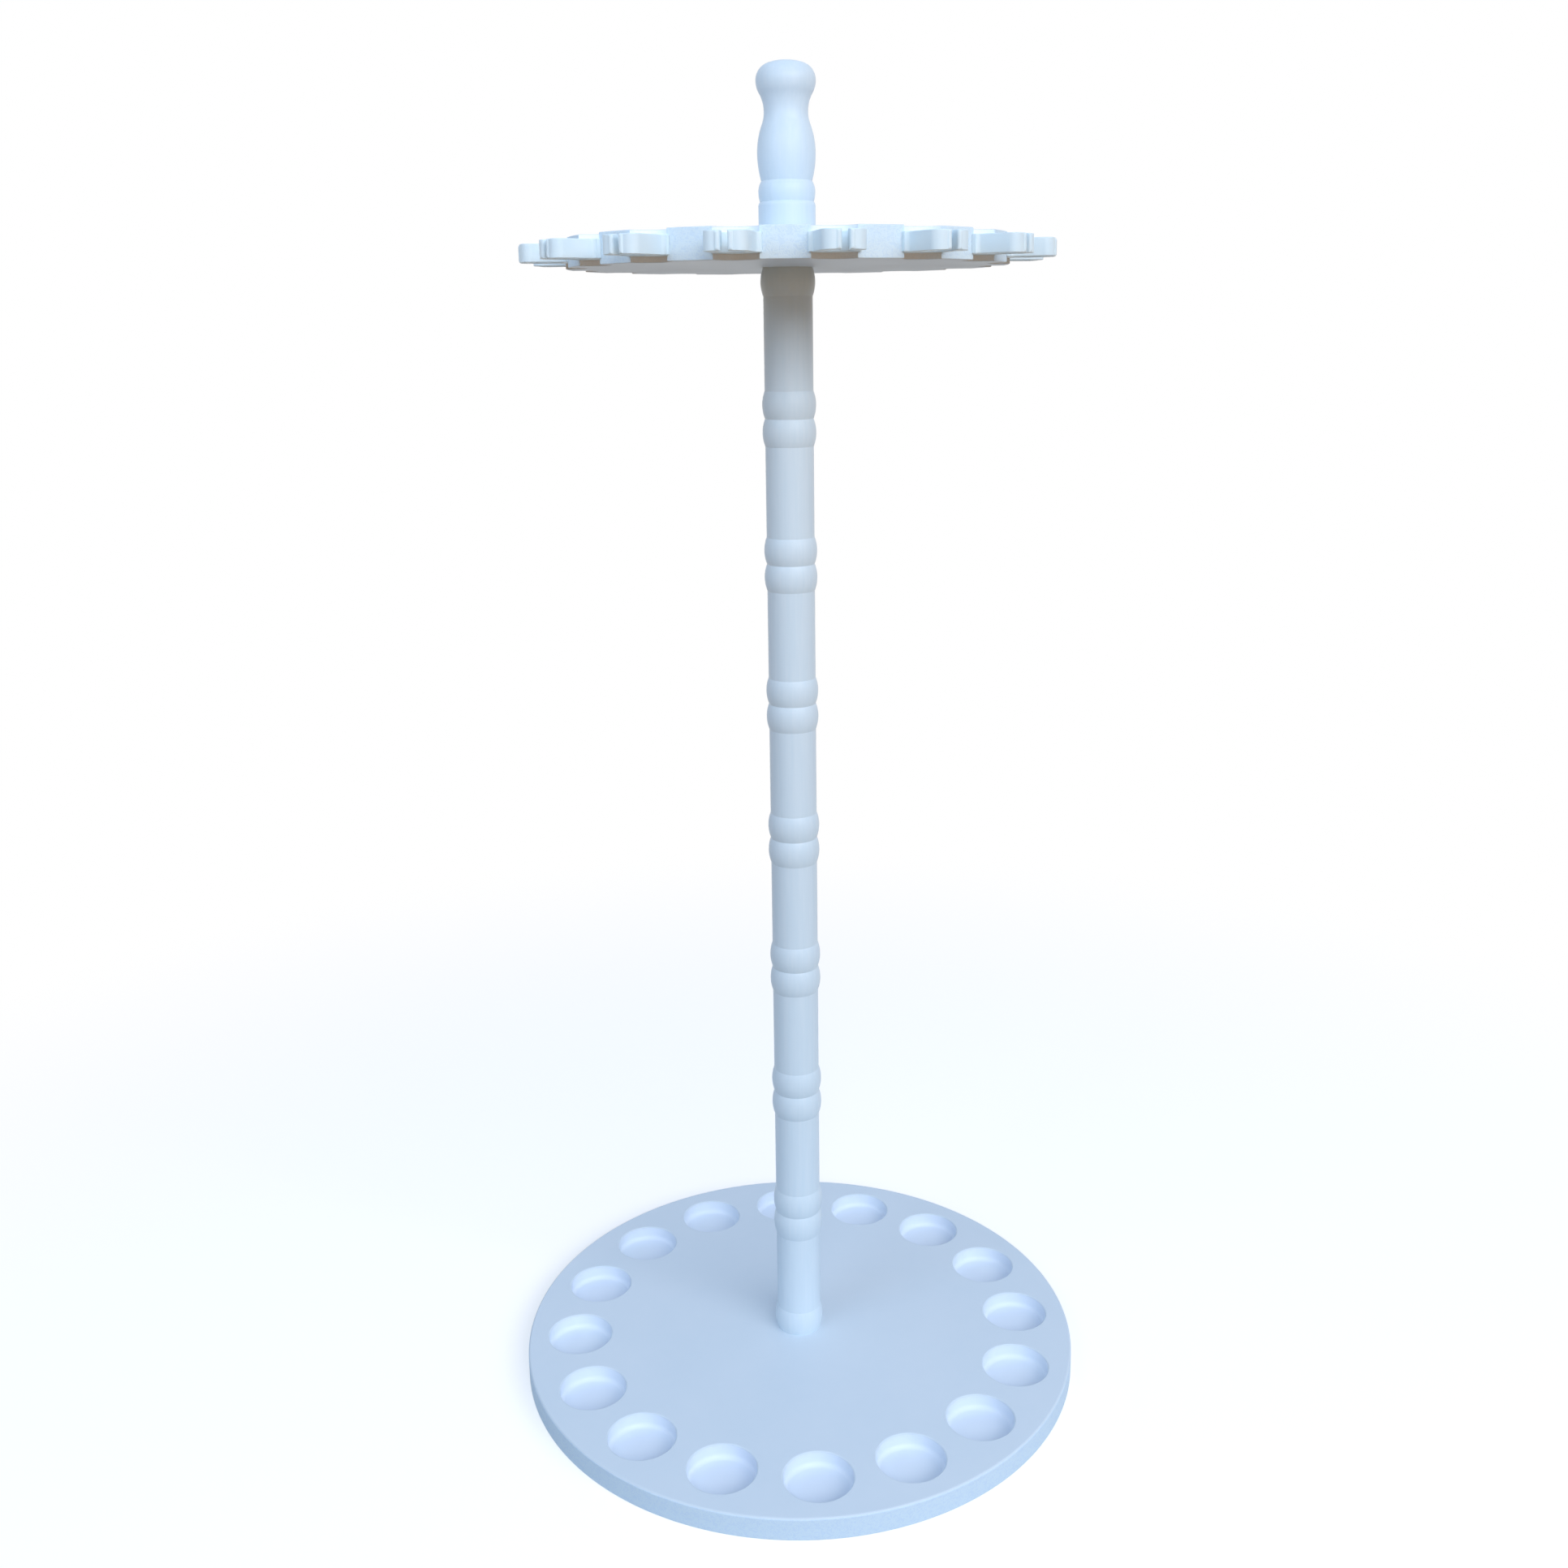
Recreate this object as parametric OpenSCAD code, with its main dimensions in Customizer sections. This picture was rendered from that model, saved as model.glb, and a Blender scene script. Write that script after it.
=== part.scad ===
// Round floor rack for fishing rods: a base plate with a ring of shallow pockets for the butts,
// a turned column of short spindles, and a disc of spring clips that can turn on the column.
// Lengths are in millimetres. The origin is the middle of the underside, and +Z is up.
// Angles are measured from the front, which faces -Y, anticlockwise as seen from above.

/* [Base plate] */
// Diameter of the base plate
base_d = 380; // [340:5:450]
// Thickness of the base plate
base_t = 15; // [14:0.5:22]
// Rounding of the base plate's top edge
base_edge_r = 1.5; // [0.5:0.25:3]

/* [Rods] */
// Number of rods that the rack holds
rod_count = 16; // [8:1:16]
// Diameter of a butt pocket
pocket_d = 44; // [36:1:48]
// Depth of a butt pocket
pocket_depth = 10; // [6:0.5:11]
// Land between a pocket and the plate's edge
pocket_land = 13.5; // [8:0.5:18]
// Hollow between a pocket's wall and its floor
pocket_floor_r = 3; // [1:0.5:6]
// Width of the chamfer on a pocket's rim
pocket_chamfer = 0.5; // [0.2:0.1:1.5]
// Angle of the first pocket from the front
pocket_turn = 4; // [0:0.1:22]

/* [Column] */
// Length of one spindle
spindle_len = 90.5; // [70:0.5:110]
// Diameter of a spindle between its beads
spindle_d = 30.2; // [27:0.2:34]
// Height of the bead at each end of a spindle
bead_h = 17; // [10:0.5:22]
// How far a bead stands out from the spindle
bead_proud = 1.6; // [0.8:0.2:3]
// Depth of the groove where two spindles meet, below their beads
groove_depth = 1.6; // [0.4:0.2:1.6]

/* [Clip disc] */
// Diameter of the disc that carries the clips
disc_d = 267; // [230:1:290]
// Thickness of the disc
disc_t = 17.5; // [13:0.5:20]
// Rounding of the disc's top and bottom edges
disc_edge_r = 0.6; // [0.2:0.2:1.2]
// Angle of the first clip from the front
clip_turn = 10.75; // [0:0.25:22]

/* [Clips] */
// Height of a clip
clip_h = 10.5; // [8:0.25:11]
// How far a clip's underside lies above the disc's
clip_lift = 3.4; // [0:0.1:3.8]
// Width of the hollow that holds a rod
hollow_d = 15.5; // [12:0.5:17]
// Straight run of the hollow behind its round end
hollow_run = 6.5; // [3:0.5:8]
// Thickness of a clip's arms
arm_t = 4.25; // [3:0.25:5]
// Distance from the disc's edge to the middle of the hollow's round end
clip_reach = 14.5; // [14:0.5:20]
// Rounding of the arms' outer corners, seen from above
corner_r = 6; // [3:0.5:8]
// Width of the mouth that a rod is pushed through
mouth_w = 4; // [3:0.2:7]
// Radius of the round lips beside the mouth
lip_r = 1.6; // [1.5:0.1:2.5]
// How far the lips stand out from the arms
lip_proud = 0.75; // [0.5:0.25:2]
// How far a clip's round foot stands out beside its arms
foot_proud = 0.7; // [0.4:0.1:1.2]
// Rounding of a clip's tip, seen from the side
tip_r = 1.5; // [1:0.25:3.5]
// How far the ears on a clip's foot stand out beside its arms
ear_w = 2.3; // [1:0.1:3]
// Thickness of the ears
ear_t = 1.6; // [1:0.1:2.5]

/* [Handle] */
// Diameter of the handle's foot
foot_d = 34.4; // [32:0.2:40]
// Height of the handle's foot
foot_h = 20.5; // [16:0.5:26]
// Height of the foot's rounded shoulder
foot_shoulder_h = 2.5; // [2:0.25:5]
// Height of the bead above the foot
collar_h = 12; // [8:0.5:14]
// Depth of the groove below that bead
low_groove = 1; // [0.4:0.2:1.6]
// Depth of the groove above that bead
high_groove = 1.8; // [0.6:0.2:2.4]
// Largest diameter of the grip
grip_d = 35; // [32:0.2:38]
// Height from the upper groove to the grip's widest place
grip_rise = 16; // [12:0.5:20]
// Diameter of the neck
neck_d = 26.4; // [20:0.2:28]
// Height from the grip's widest place to the neck
neck_rise = 23.5; // [16:0.5:26]
// Diameter of the knob
knob_d = 35.8; // [32:0.2:40]
// Height from the neck to the knob's widest place
knob_rise = 17.5; // [15:0.5:22]
// Rounding of the knob's shoulder
knob_r = 10; // [7:0.5:10]
// Height of the knob above its widest place
crown_h = 11.3; // [10.2:0.1:13]
// Diameter of the small flat in the middle of the knob's top
crown_flat_d = 2; // [1:0.5:4]

/* [Fasteners] */
// Diameter of the bolts that join the column
bolt_d = 8; // [6:0.5:9]
// Length of a hanger bolt's wood thread
wood_len = 25; // [18:1:30]
// Length that a bolt reaches into an insert nut
reach_len = 14; // [10:0.5:15]
// Outer diameter of an insert nut
insert_d = 12; // [11:0.5:14]
// Length of an insert nut
insert_len = 15; // [15:0.5:20]
// Width of the base bolt's head across its flats
head_flats = 13; // [12:0.5:14]
// Height of the base bolt's head
head_h = 5.3; // [4:0.1:5.5]
// Diameter of the base washer
washer_d = 20; // [17:0.5:24]
// Thickness of the base washer
washer_t = 1.6; // [1:0.1:2]
// Diameter of a clip screw
screw_d = 3.5; // [3:0.1:4]
// Length that a clip screw holds in the disc
screw_bite = 18; // [12:1:24]
// Diameter of a clip screw's head
screw_head_d = 7; // [6:0.1:7.5]
// Height of a clip screw's head
screw_head_h = 2; // [1.5:0.1:2.4]
// Chamfer on a clip screw's head
screw_head_chamfer = 0.8; // [0.4:0.1:1]
// How far the middle of a clip screw's head stands into the hollow
screw_head_proud = 0.3; // [0:0.1:0.6]
// Length of a clip screw's point
screw_point = 5; // [3:0.5:8]
// Chamfer on a hanger bolt's upper end
bolt_chamfer = 1; // [0.5:0.25:2]

/* [Clearances] */
// Radial clearance of the disc on its bolt
turn_clear = 0.1; // [0.05:0.01:0.1]
// Clearance around threads, inserts and screws
thread_clear = 0.05; // [0.02:0.01:0.1]
// Clearance between a clip's foot and its notch
notch_clear = 0.15; // [0.1:0.05:0.3]
// Radial clearance of the base bolt in its washer and its hole
bolt_clear = 0.25; // [0.1:0.05:0.5]
// Radial clearance around the washer in its recess
recess_clear = 1; // [0.5:0.25:2]
// Height of the base bolt's head above the floor
floor_clear = 0.1; // [0.1:0.1:1]
// Depth of a bolt's hole beyond the bolt's end
bolt_slack = 3; // [1:0.5:5]

/* [Hidden] */
$fn = 96;
// How far a cut runs past the face that it opens, and how far a piece reaches into the next
cut = 1;
fuse = 0.01;
arc_steps = 12;
spindle_count = 8;
rod_step = 360 / rod_count;

// Base plate
base_r = base_d / 2;
pocket_r = pocket_d / 2;
pocket_ring_r = base_r - pocket_land - pocket_r;
recess_h = floor_clear + head_h + washer_t;
recess_r = washer_d / 2 + recess_clear;

// Column
spindle_r = spindle_d / 2;
bead_r = spindle_r + bead_proud;
joint_r = bead_r - groove_depth;
column_top = base_t + spindle_count * spindle_len;
bolt_r = bolt_d / 2;
bolt_bore_r = bolt_r + thread_clear;
insert_r = insert_d / 2;

// Clip disc and clips
disc_r = disc_d / 2;
disc_top = column_top + disc_t;
hollow_r = hollow_d / 2;
clip_r = hollow_r + arm_t;
ring_x = disc_r + clip_reach;
root_x = ring_x - hollow_run - hollow_r;
front_x = ring_x + clip_r;
tip_x = front_x + lip_proud;
lip_y = mouth_w / 2 + lip_r;
notch_r = clip_r + foot_proud;
notch_back = disc_r - notch_r;
clip_z = column_top + clip_lift;
screw_z = clip_z + clip_h / 2;
screw_r = screw_d / 2;
screw_head_r = screw_head_d / 2;
screw_seat = root_x + screw_head_proud - screw_head_h;
screw_end = notch_back - screw_bite;

// Handle
foot_r = foot_d / 2;
collar_step = 0.1;
collar_r = foot_r - collar_step;
low_groove_r = foot_r - low_groove;
high_groove_r = collar_r - high_groove;
grip_r = grip_d / 2;
neck_r = neck_d / 2;
knob_wide_r = knob_d / 2;
collar_z = foot_h + collar_h / 2;
grip_z = foot_h + collar_h + grip_rise;
neck_z = grip_z + neck_rise;
knob_z = neck_z + knob_rise;
crown_z = knob_z + crown_h;
grip_bulge = 0.69;
knob_bulge = 0.4;

// Names of the repeated parts, with two digits for the clips
function clip_name(i) = str("rod_clip_", i < 10 ? "0" : "", i);
function spindle_name(i) = str("spindle_", i);

paint = [0.93, 0.95, 0.97];
clip_white = [0.97, 0.98, 1];
steel = [0.72, 0.73, 0.75];
brass = [0.78, 0.66, 0.38];

// Radius of an arc that stands upright at its widest place and draws in by d over the height h
function arc_r(d, h) = (d * d + h * h) / (2 * d);

// Half outline of a turned swelling, from r_end at z_end to r_max at z_max
module swell(r_max, z_max, r_end, z_end) {
    r = arc_r(r_max - r_end, abs(z_end - z_max));
    intersection() {
        translate([r_max - r, z_max])
            circle(r, $fn = 360);
        translate([0, min(z_max, z_end)])
            square([r_max, abs(z_end - z_max)]);
    }
}

// Points of an arc round the centre c from the angle a0 to a1, without its first point
function arc(c, r, a0, a1) = [
    for (i = [1:arc_steps])
        let (a = a0 + (a1 - a0) * i / arc_steps)
            c + r * [cos(a), sin(a)]
];

// Half of a turned swelling, upwards from r_end to its widest place at z, over the height h
function swell_in(r_max, z, r_end, h) =
    let (r = arc_r(r_max - r_end, h)) arc([r_max - r, z], r, -asin(h / r), 0);

// The other half, upwards from the widest place at z down to r_end
function swell_out(r_max, z, r_end, h) =
    let (r = arc_r(r_max - r_end, h)) arc([r_max - r, z], r, 0, asin(h / r));

// Upwards from the widest place at z to a neck h above it: a bulging arc over the first share of
// the height, then a hollow one
function draw_in(r_max, z, r_min, h, share) =
    let (
        r = arc_r(r_max - r_min, h),
        bulge = r * share,
        hollow = r - bulge,
        a = asin(h / r)
    )
    concat(
        arc([r_max - bulge, z], bulge, 0, a),
        arc([r_min + hollow, z + h], hollow, 180 + a, 180)
    );

// Upwards from a neck at z to the widest place h above it
function draw_out(r_min, z, r_max, h, share) =
    let (
        r = arc_r(r_max - r_min, h),
        bulge = r * share,
        hollow = r - bulge,
        a = asin(h / r)
    )
    concat(
        arc([r_min + hollow, z], hollow, 180, 180 - a),
        arc([r_max - bulge, z + h], bulge, -a, 0)
    );

// Half of a round plate's outline, with its top edge rounded, and its bottom edge too if both
module plate_half(r, t, edge_r, both) {
    low = both ? edge_r : 0;
    square([r - edge_r, t]);
    translate([0, low])
        square([r, t - low - edge_r]);
    for (z = both ? [edge_r, t - edge_r] : [t - edge_r])
        translate([r - edge_r, z])
            circle(edge_r);
}

// Turns a child that points along +X to the place of rod i in a ring that starts at first_turn
module at_rod(i, first_turn) {
    rotate([0, 0, first_turn + (i - 1) * rod_step - 90])
        children();
}

// Butt pocket as the space that is cut out, with its rim at z = 0
module pocket_cut() {
    rotate_extrude() {
        translate([0, pocket_floor_r - pocket_depth])
            square([pocket_r, pocket_depth - pocket_floor_r + cut]);
        translate([0, -pocket_depth])
            square([pocket_r - pocket_floor_r, pocket_depth]);
        translate([pocket_r - pocket_floor_r, pocket_floor_r - pocket_depth])
            circle(pocket_floor_r);
    }
    translate([0, 0, -pocket_chamfer])
        cylinder(h = pocket_chamfer + cut, r1 = pocket_r, r2 = pocket_r + pocket_chamfer + cut);
}

module base_plate() {
    color(paint)
        difference() {
            rotate_extrude($fn = 180)
                plate_half(base_r, base_t, base_edge_r, false);
            for (i = [1:rod_count])
                at_rod(i, pocket_turn)
                    translate([pocket_ring_r, 0, base_t])
                        pocket_cut();
            translate([0, 0, -cut])
                cylinder(h = recess_h + cut, r = recess_r);
            cylinder(h = base_t + cut, r = bolt_r + bolt_clear);
        }
}

module base_bolt() {
    color(steel) {
        translate([0, 0, floor_clear])
            cylinder(h = head_h, d = head_flats / cos(30), $fn = 6);
        translate([0, 0, floor_clear + head_h - fuse])
            cylinder(h = base_t + reach_len - floor_clear - head_h + fuse, r = bolt_r);
    }
}

module base_washer() {
    color(steel)
        translate([0, 0, floor_clear + head_h])
            difference() {
                cylinder(h = washer_t, r = washer_d / 2);
                translate([0, 0, -cut])
                    cylinder(h = washer_t + 2 * cut, r = bolt_r + bolt_clear);
            }
}

// Hole for an insert nut and for the end of the bolt beyond it, opening downwards at z = 0
module insert_cut() {
    translate([0, 0, -cut])
        cylinder(h = insert_len + cut, r = insert_r + thread_clear);
    cylinder(h = max(insert_len, reach_len) + bolt_slack, r = bolt_bore_r);
}

// One turned spindle with a bead at each end, standing on z = 0
module spindle() {
    color(paint)
        difference() {
            rotate_extrude() {
                translate([0, bead_h])
                    square([spindle_r, spindle_len - 2 * bead_h]);
                for (m = [0, 1])
                    translate([0, m * spindle_len])
                        mirror([0, m]) {
                            swell(bead_r, bead_h / 2, joint_r, 0);
                            swell(bead_r, bead_h / 2, spindle_r, bead_h);
                        }
            }
            insert_cut();
            translate([0, 0, spindle_len - wood_len - thread_clear])
                cylinder(h = wood_len + cut, r = bolt_bore_r);
        }
}

// Bolt with a wood thread below z = 0 and a machine thread above it
module hanger_bolt(above) {
    point = bolt_r;
    translate([0, 0, -wood_len])
        cylinder(h = point, r1 = bolt_r / 3, r2 = bolt_r);
    translate([0, 0, point - wood_len])
        cylinder(h = wood_len - point + above - bolt_chamfer, r = bolt_r);
    translate([0, 0, above - bolt_chamfer])
        cylinder(h = bolt_chamfer, r1 = bolt_r, r2 = bolt_r - bolt_chamfer);
}

module hanger_bolts() {
    color(steel)
        for (i = [1:spindle_count - 1])
            translate([0, 0, base_t + i * spindle_len])
                hanger_bolt(reach_len);
}

module top_hanger_bolt() {
    color(steel)
        translate([0, 0, column_top])
            hanger_bolt(disc_t + reach_len);
}

// Threaded sleeve with its mouth at z = 0
module insert_nut() {
    difference() {
        cylinder(h = insert_len, r = insert_r);
        translate([0, 0, -cut])
            cylinder(h = insert_len + 2 * cut, r = bolt_bore_r);
    }
}

module insert_nuts() {
    color(brass)
        for (i = [0:spindle_count - 1])
            translate([0, 0, base_t + i * spindle_len])
                insert_nut();
}

// Path of a clip screw along +X, as a cylinder from x0 to x1
module screw_bore(x0, x1, r) {
    translate([x0, 0, screw_z])
        rotate([0, 90, 0])
            cylinder(h = x1 - x0, r = r);
}

module clip_disc() {
    color(paint)
        difference() {
            translate([0, 0, column_top])
                rotate_extrude($fn = 180)
                    plate_half(disc_r, disc_t, disc_edge_r, true);
            translate([0, 0, column_top - cut])
                cylinder(h = disc_t + 2 * cut, r = bolt_r + turn_clear);
            for (i = [1:rod_count])
                at_rod(i, clip_turn) {
                    translate([disc_r, 0, column_top - cut])
                        cylinder(h = disc_t + 2 * cut, r = notch_r);
                    screw_bore(screw_end - thread_clear, notch_back + cut, screw_r + thread_clear);
                }
        }
}

// Foot of a clip as seen from above: a round plug in the notch, and an ear on each side
module clip_foot() {
    intersection() {
        translate([disc_r, 0])
            circle(notch_r - notch_clear);
        translate([notch_back, -notch_r])
            square([notch_r + ear_t, 2 * notch_r]);
    }
    difference() {
        translate([disc_r - ear_w, -clip_r - ear_w])
            square([notch_clear + ear_t + 2 * ear_w, 2 * (clip_r + ear_w)]);
        circle(disc_r + notch_clear, $fn = 360);
        for (s = [-1, 1])
            translate([disc_r + notch_clear + ear_t + ear_w, s * (clip_r + ear_w)])
                circle(ear_w);
    }
}

// Whole clip as seen from above, with its mouth towards +X
module clip_plan() {
    difference() {
        union() {
            clip_foot();
            translate([disc_r - ear_w, -clip_r])
                square([front_x - corner_r - disc_r + ear_w, 2 * clip_r]);
            translate([ring_x, corner_r - clip_r])
                square([clip_r, 2 * (clip_r - corner_r)]);
            for (s = [-1, 1]) {
                translate([front_x - corner_r, s * (clip_r - corner_r)])
                    circle(corner_r);
                translate([tip_x - lip_r, s * lip_y])
                    circle(lip_r);
            }
        }
        translate([ring_x, 0])
            circle(hollow_r);
        translate([root_x + hollow_r, 0])
            circle(hollow_r);
        translate([root_x + hollow_r, -hollow_r])
            square([hollow_run, hollow_d]);
        translate([ring_x, -mouth_w / 2])
            square([clip_r + lip_proud + cut, mouth_w]);
    }
}

// Outline of a clip from the side, with rounded corners at its tip
module clip_side() {
    translate([notch_back, 0])
        square([tip_x - tip_r - notch_back, clip_h]);
    translate([notch_back, tip_r])
        square([tip_x - notch_back, clip_h - 2 * tip_r]);
    for (z = [tip_r, clip_h - tip_r])
        translate([tip_x - tip_r, z])
            circle(tip_r);
}

module rod_clip(i) {
    color(clip_white)
        at_rod(i, clip_turn)
            difference() {
                translate([0, 0, clip_z])
                    intersection() {
                        linear_extrude(clip_h)
                            clip_plan();
                        translate([0, clip_r + ear_w + cut, 0])
                            rotate([90, 0, 0])
                                linear_extrude(2 * (clip_r + ear_w + cut))
                                    clip_side();
                    }
                screw_bore(notch_back, root_x + cut, screw_r + thread_clear);
                screw_bore(screw_seat, root_x + hollow_r, screw_head_r + thread_clear);
            }
}

// Wood screw along X, from its point at screw_end to its head on screw_seat
module clip_screw() {
    translate([screw_end, 0, screw_z])
        rotate([0, 90, 0]) {
            cylinder(h = screw_point, r1 = screw_r / 4, r2 = screw_r);
            translate([0, 0, screw_point])
                cylinder(h = screw_seat - screw_end - screw_point + fuse, r = screw_r);
            translate([0, 0, screw_seat - screw_end])
                cylinder(h = screw_head_h, r1 = screw_head_r, r2 = screw_head_r - screw_head_chamfer);
        }
}

module clip_screws() {
    color(steel)
        for (i = [1:rod_count])
            at_rod(i, clip_turn)
                clip_screw();
}

// Half of the turned handle's outline, standing on z = 0
function handle_outline() =
    let (
        shoulder_x = knob_wide_r - knob_r,
        crown_r = (pow(shoulder_x, 2) + pow(crown_h, 2) - pow(knob_r, 2)) / (crown_h - knob_r) / 2,
        crown_a = atan2(crown_r - crown_h, shoulder_x),
        flat_a = acos(crown_flat_d / 2 / crown_r)
    )
    concat(
        [[0, 0], [foot_r, 0], [foot_r, foot_h - foot_shoulder_h]],
        swell_out(foot_r, foot_h - foot_shoulder_h, low_groove_r, foot_shoulder_h),
        swell_in(collar_r, collar_z, low_groove_r, collar_h / 2),
        swell_out(collar_r, collar_z, high_groove_r, collar_h / 2),
        swell_in(grip_r, grip_z, high_groove_r, grip_rise),
        draw_in(grip_r, grip_z, neck_r, neck_rise, grip_bulge),
        draw_out(neck_r, neck_z, knob_wide_r, knob_rise, knob_bulge),
        arc([shoulder_x, knob_z], knob_r, 0, crown_a),
        arc([0, crown_z - crown_r], crown_r, crown_a, flat_a),
        [[0, crown_z - crown_r + crown_r * sin(flat_a)]]
    );

module handle() {
    color(paint)
        translate([0, 0, disc_top])
            difference() {
                rotate_extrude()
                    polygon(handle_outline());
                insert_cut();
            }
}

module handle_insert() {
    color(brass)
        translate([0, 0, disc_top])
            insert_nut();
}

base_plate();
base_bolt();
base_washer();
for (i = [1:spindle_count])
    translate([0, 0, base_t + (i - 1) * spindle_len])
            spindle();
hanger_bolts();
top_hanger_bolt();
insert_nuts();
clip_disc();
for (i = [1:rod_count])
    rod_clip(i);
clip_screws();
handle();
handle_insert();
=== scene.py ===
# %% [markdown]
# # A painted rack with a ring of spring clips
# The real rack is a round board with sixteen shallow pockets, a turned column, a smaller board
# that carries sixteen spring clips, and a turned handle on top. Its pieces are already built at
# their real size by CAD, and this lesson gives them their finish.
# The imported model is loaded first, as a fixed frame. Every place below is read from it or worked
# out from a few sizes, so nothing has to be fitted by eye.

import math

import bmesh
import bpy
from mathutils import Matrix, Vector


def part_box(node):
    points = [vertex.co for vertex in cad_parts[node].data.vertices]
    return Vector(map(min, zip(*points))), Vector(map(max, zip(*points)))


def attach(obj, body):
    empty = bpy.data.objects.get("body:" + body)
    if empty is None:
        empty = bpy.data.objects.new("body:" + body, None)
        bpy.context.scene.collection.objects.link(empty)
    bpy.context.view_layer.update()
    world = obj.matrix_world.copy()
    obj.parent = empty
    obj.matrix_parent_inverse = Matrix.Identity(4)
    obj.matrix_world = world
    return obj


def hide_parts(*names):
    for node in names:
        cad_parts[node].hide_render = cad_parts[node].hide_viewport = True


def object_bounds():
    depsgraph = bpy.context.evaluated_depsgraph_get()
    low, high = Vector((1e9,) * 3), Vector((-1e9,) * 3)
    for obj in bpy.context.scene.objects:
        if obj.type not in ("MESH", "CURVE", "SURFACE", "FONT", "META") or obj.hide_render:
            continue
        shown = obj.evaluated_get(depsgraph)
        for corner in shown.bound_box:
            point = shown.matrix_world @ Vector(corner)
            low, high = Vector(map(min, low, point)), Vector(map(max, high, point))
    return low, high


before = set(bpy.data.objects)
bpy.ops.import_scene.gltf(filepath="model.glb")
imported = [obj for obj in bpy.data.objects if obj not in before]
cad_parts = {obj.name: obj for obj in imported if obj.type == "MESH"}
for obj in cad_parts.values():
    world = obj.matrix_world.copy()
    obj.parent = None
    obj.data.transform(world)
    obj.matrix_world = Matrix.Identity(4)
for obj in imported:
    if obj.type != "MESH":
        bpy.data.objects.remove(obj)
cad_low, cad_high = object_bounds()
print("CAD box from", [round(v, 4) for v in cad_low], "to", [round(v, 4) for v in cad_high], "m")

# %% [markdown]
# A maker thinks of this rack in millimetres, and Blender in metres. The meshes are therefore
# modelled in millimetres and are made smaller once, when a piece is finished. The frame's boxes
# are read in millimetres too.

# %% Work in millimetres
MM = 0.001


def box_mm(node):
    """Lowest and highest corner of a node of the frame, in millimetres."""
    low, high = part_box(node)
    return low / MM, high / MM


base_low, base_high = box_mm("base_plate")
disc_low, disc_high = box_mm("clip_disc")
print("base", round(base_high.x - base_low.x, 1), "mm across,", round(base_high.z, 1), "mm thick")
print("clip disc", round(disc_low.z, 1), "to", round(disc_high.z, 1), "mm above the floor")

# %% [markdown]
# The camera comes before the pieces, because every look is judged through it. The photograph was
# taken from a step away, with the camera a little below the clip disc and tilted down by 13
# degrees. The place and the tilt were worked out from the base's round outline, its pockets and
# the column's joints. The picture was cut so that the lens points a little above its middle,
# which a small shift repeats. A matrix from three directions is used, because a small roll is
# easier to give that way than with angles.

# %% Camera
CAMERA_PLACE = Vector((0, -992.5, 706.1))
CAMERA_DOWN = 0.2282
CAMERA_YAW = -0.0054
CAMERA_ROLL = -0.0123
CAMERA_LENS = 36.31
CAMERA_SHIFT = -0.0596
SENSOR_WIDTH = 36

ahead = Vector((
    math.sin(CAMERA_YAW) * math.cos(CAMERA_DOWN),
    math.cos(CAMERA_YAW) * math.cos(CAMERA_DOWN),
    -math.sin(CAMERA_DOWN),
))
level = Vector((math.cos(CAMERA_YAW), -math.sin(CAMERA_YAW), 0))
upright = level.cross(ahead)
side = math.cos(CAMERA_ROLL) * level + math.sin(CAMERA_ROLL) * upright
top = math.cos(CAMERA_ROLL) * upright - math.sin(CAMERA_ROLL) * level

camera_data = bpy.data.cameras.new("camera")
camera_data.lens = CAMERA_LENS
camera_data.sensor_width = SENSOR_WIDTH
camera_data.shift_y = CAMERA_SHIFT
camera = bpy.data.objects.new("camera", camera_data)
bpy.context.scene.collection.objects.link(camera)
camera.matrix_world = (
    Matrix.Translation(CAMERA_PLACE * MM) @ Matrix((side, top, -ahead)).transposed().to_4x4()
)
bpy.context.scene.camera = camera
bpy.context.scene.view_settings.view_transform = "Standard"
print("camera", round(math.degrees(CAMERA_DOWN), 1), "degrees down, lens", CAMERA_LENS, "mm")

# %% [markdown]
# Colours are written as a designer picks them, in sRGB hex, and one function turns them into the
# linear values that the shader needs. A second function adds a node, sets what it is told to
# and links its inputs, so that each material below reads like a short recipe. A third starts a
# material with places in millimetres, so that every pattern gets its real width.

# %% Colour and node helpers
def linear(hex_colour):
    """The linear colour of an sRGB hex value."""
    parts = [int(hex_colour[i:i + 2], 16) / 255 for i in (1, 3, 5)]
    return [p / 12.92 if p <= 0.04045 else ((p + 0.055) / 1.055) ** 2.4 for p in parts] + [1]


def add_node(tree, kind, inputs, stops=(), **settings):
    """Adds a node, sets its properties and colour stops, and fills or links each input."""
    node = tree.nodes.new(kind)
    for name, value in settings.items():
        setattr(node, name, value)
    for name, value in inputs.items():
        if isinstance(value, bpy.types.NodeSocket):
            tree.links.new(value, node.inputs[name])
        else:
            node.inputs[name].default_value = value
    for index, (position, colour) in enumerate(stops):
        node.color_ramp.elements[index].position = position
        node.color_ramp.elements[index].color = linear(colour)
    return node


def start_material(name):
    """A new material, its node tree, and Object coordinates in millimetres."""
    material = bpy.data.materials.new(name)
    material.use_nodes = True
    tree = material.node_tree
    tree.nodes.clear()
    place = add_node(tree, "ShaderNodeTexCoord", {})
    in_mm = add_node(
        tree, "ShaderNodeVectorMath", {0: place.outputs["Object"], "Scale": 1 / MM},
        operation="SCALE",
    )
    return material, tree, in_mm.outputs["Vector"]


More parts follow.
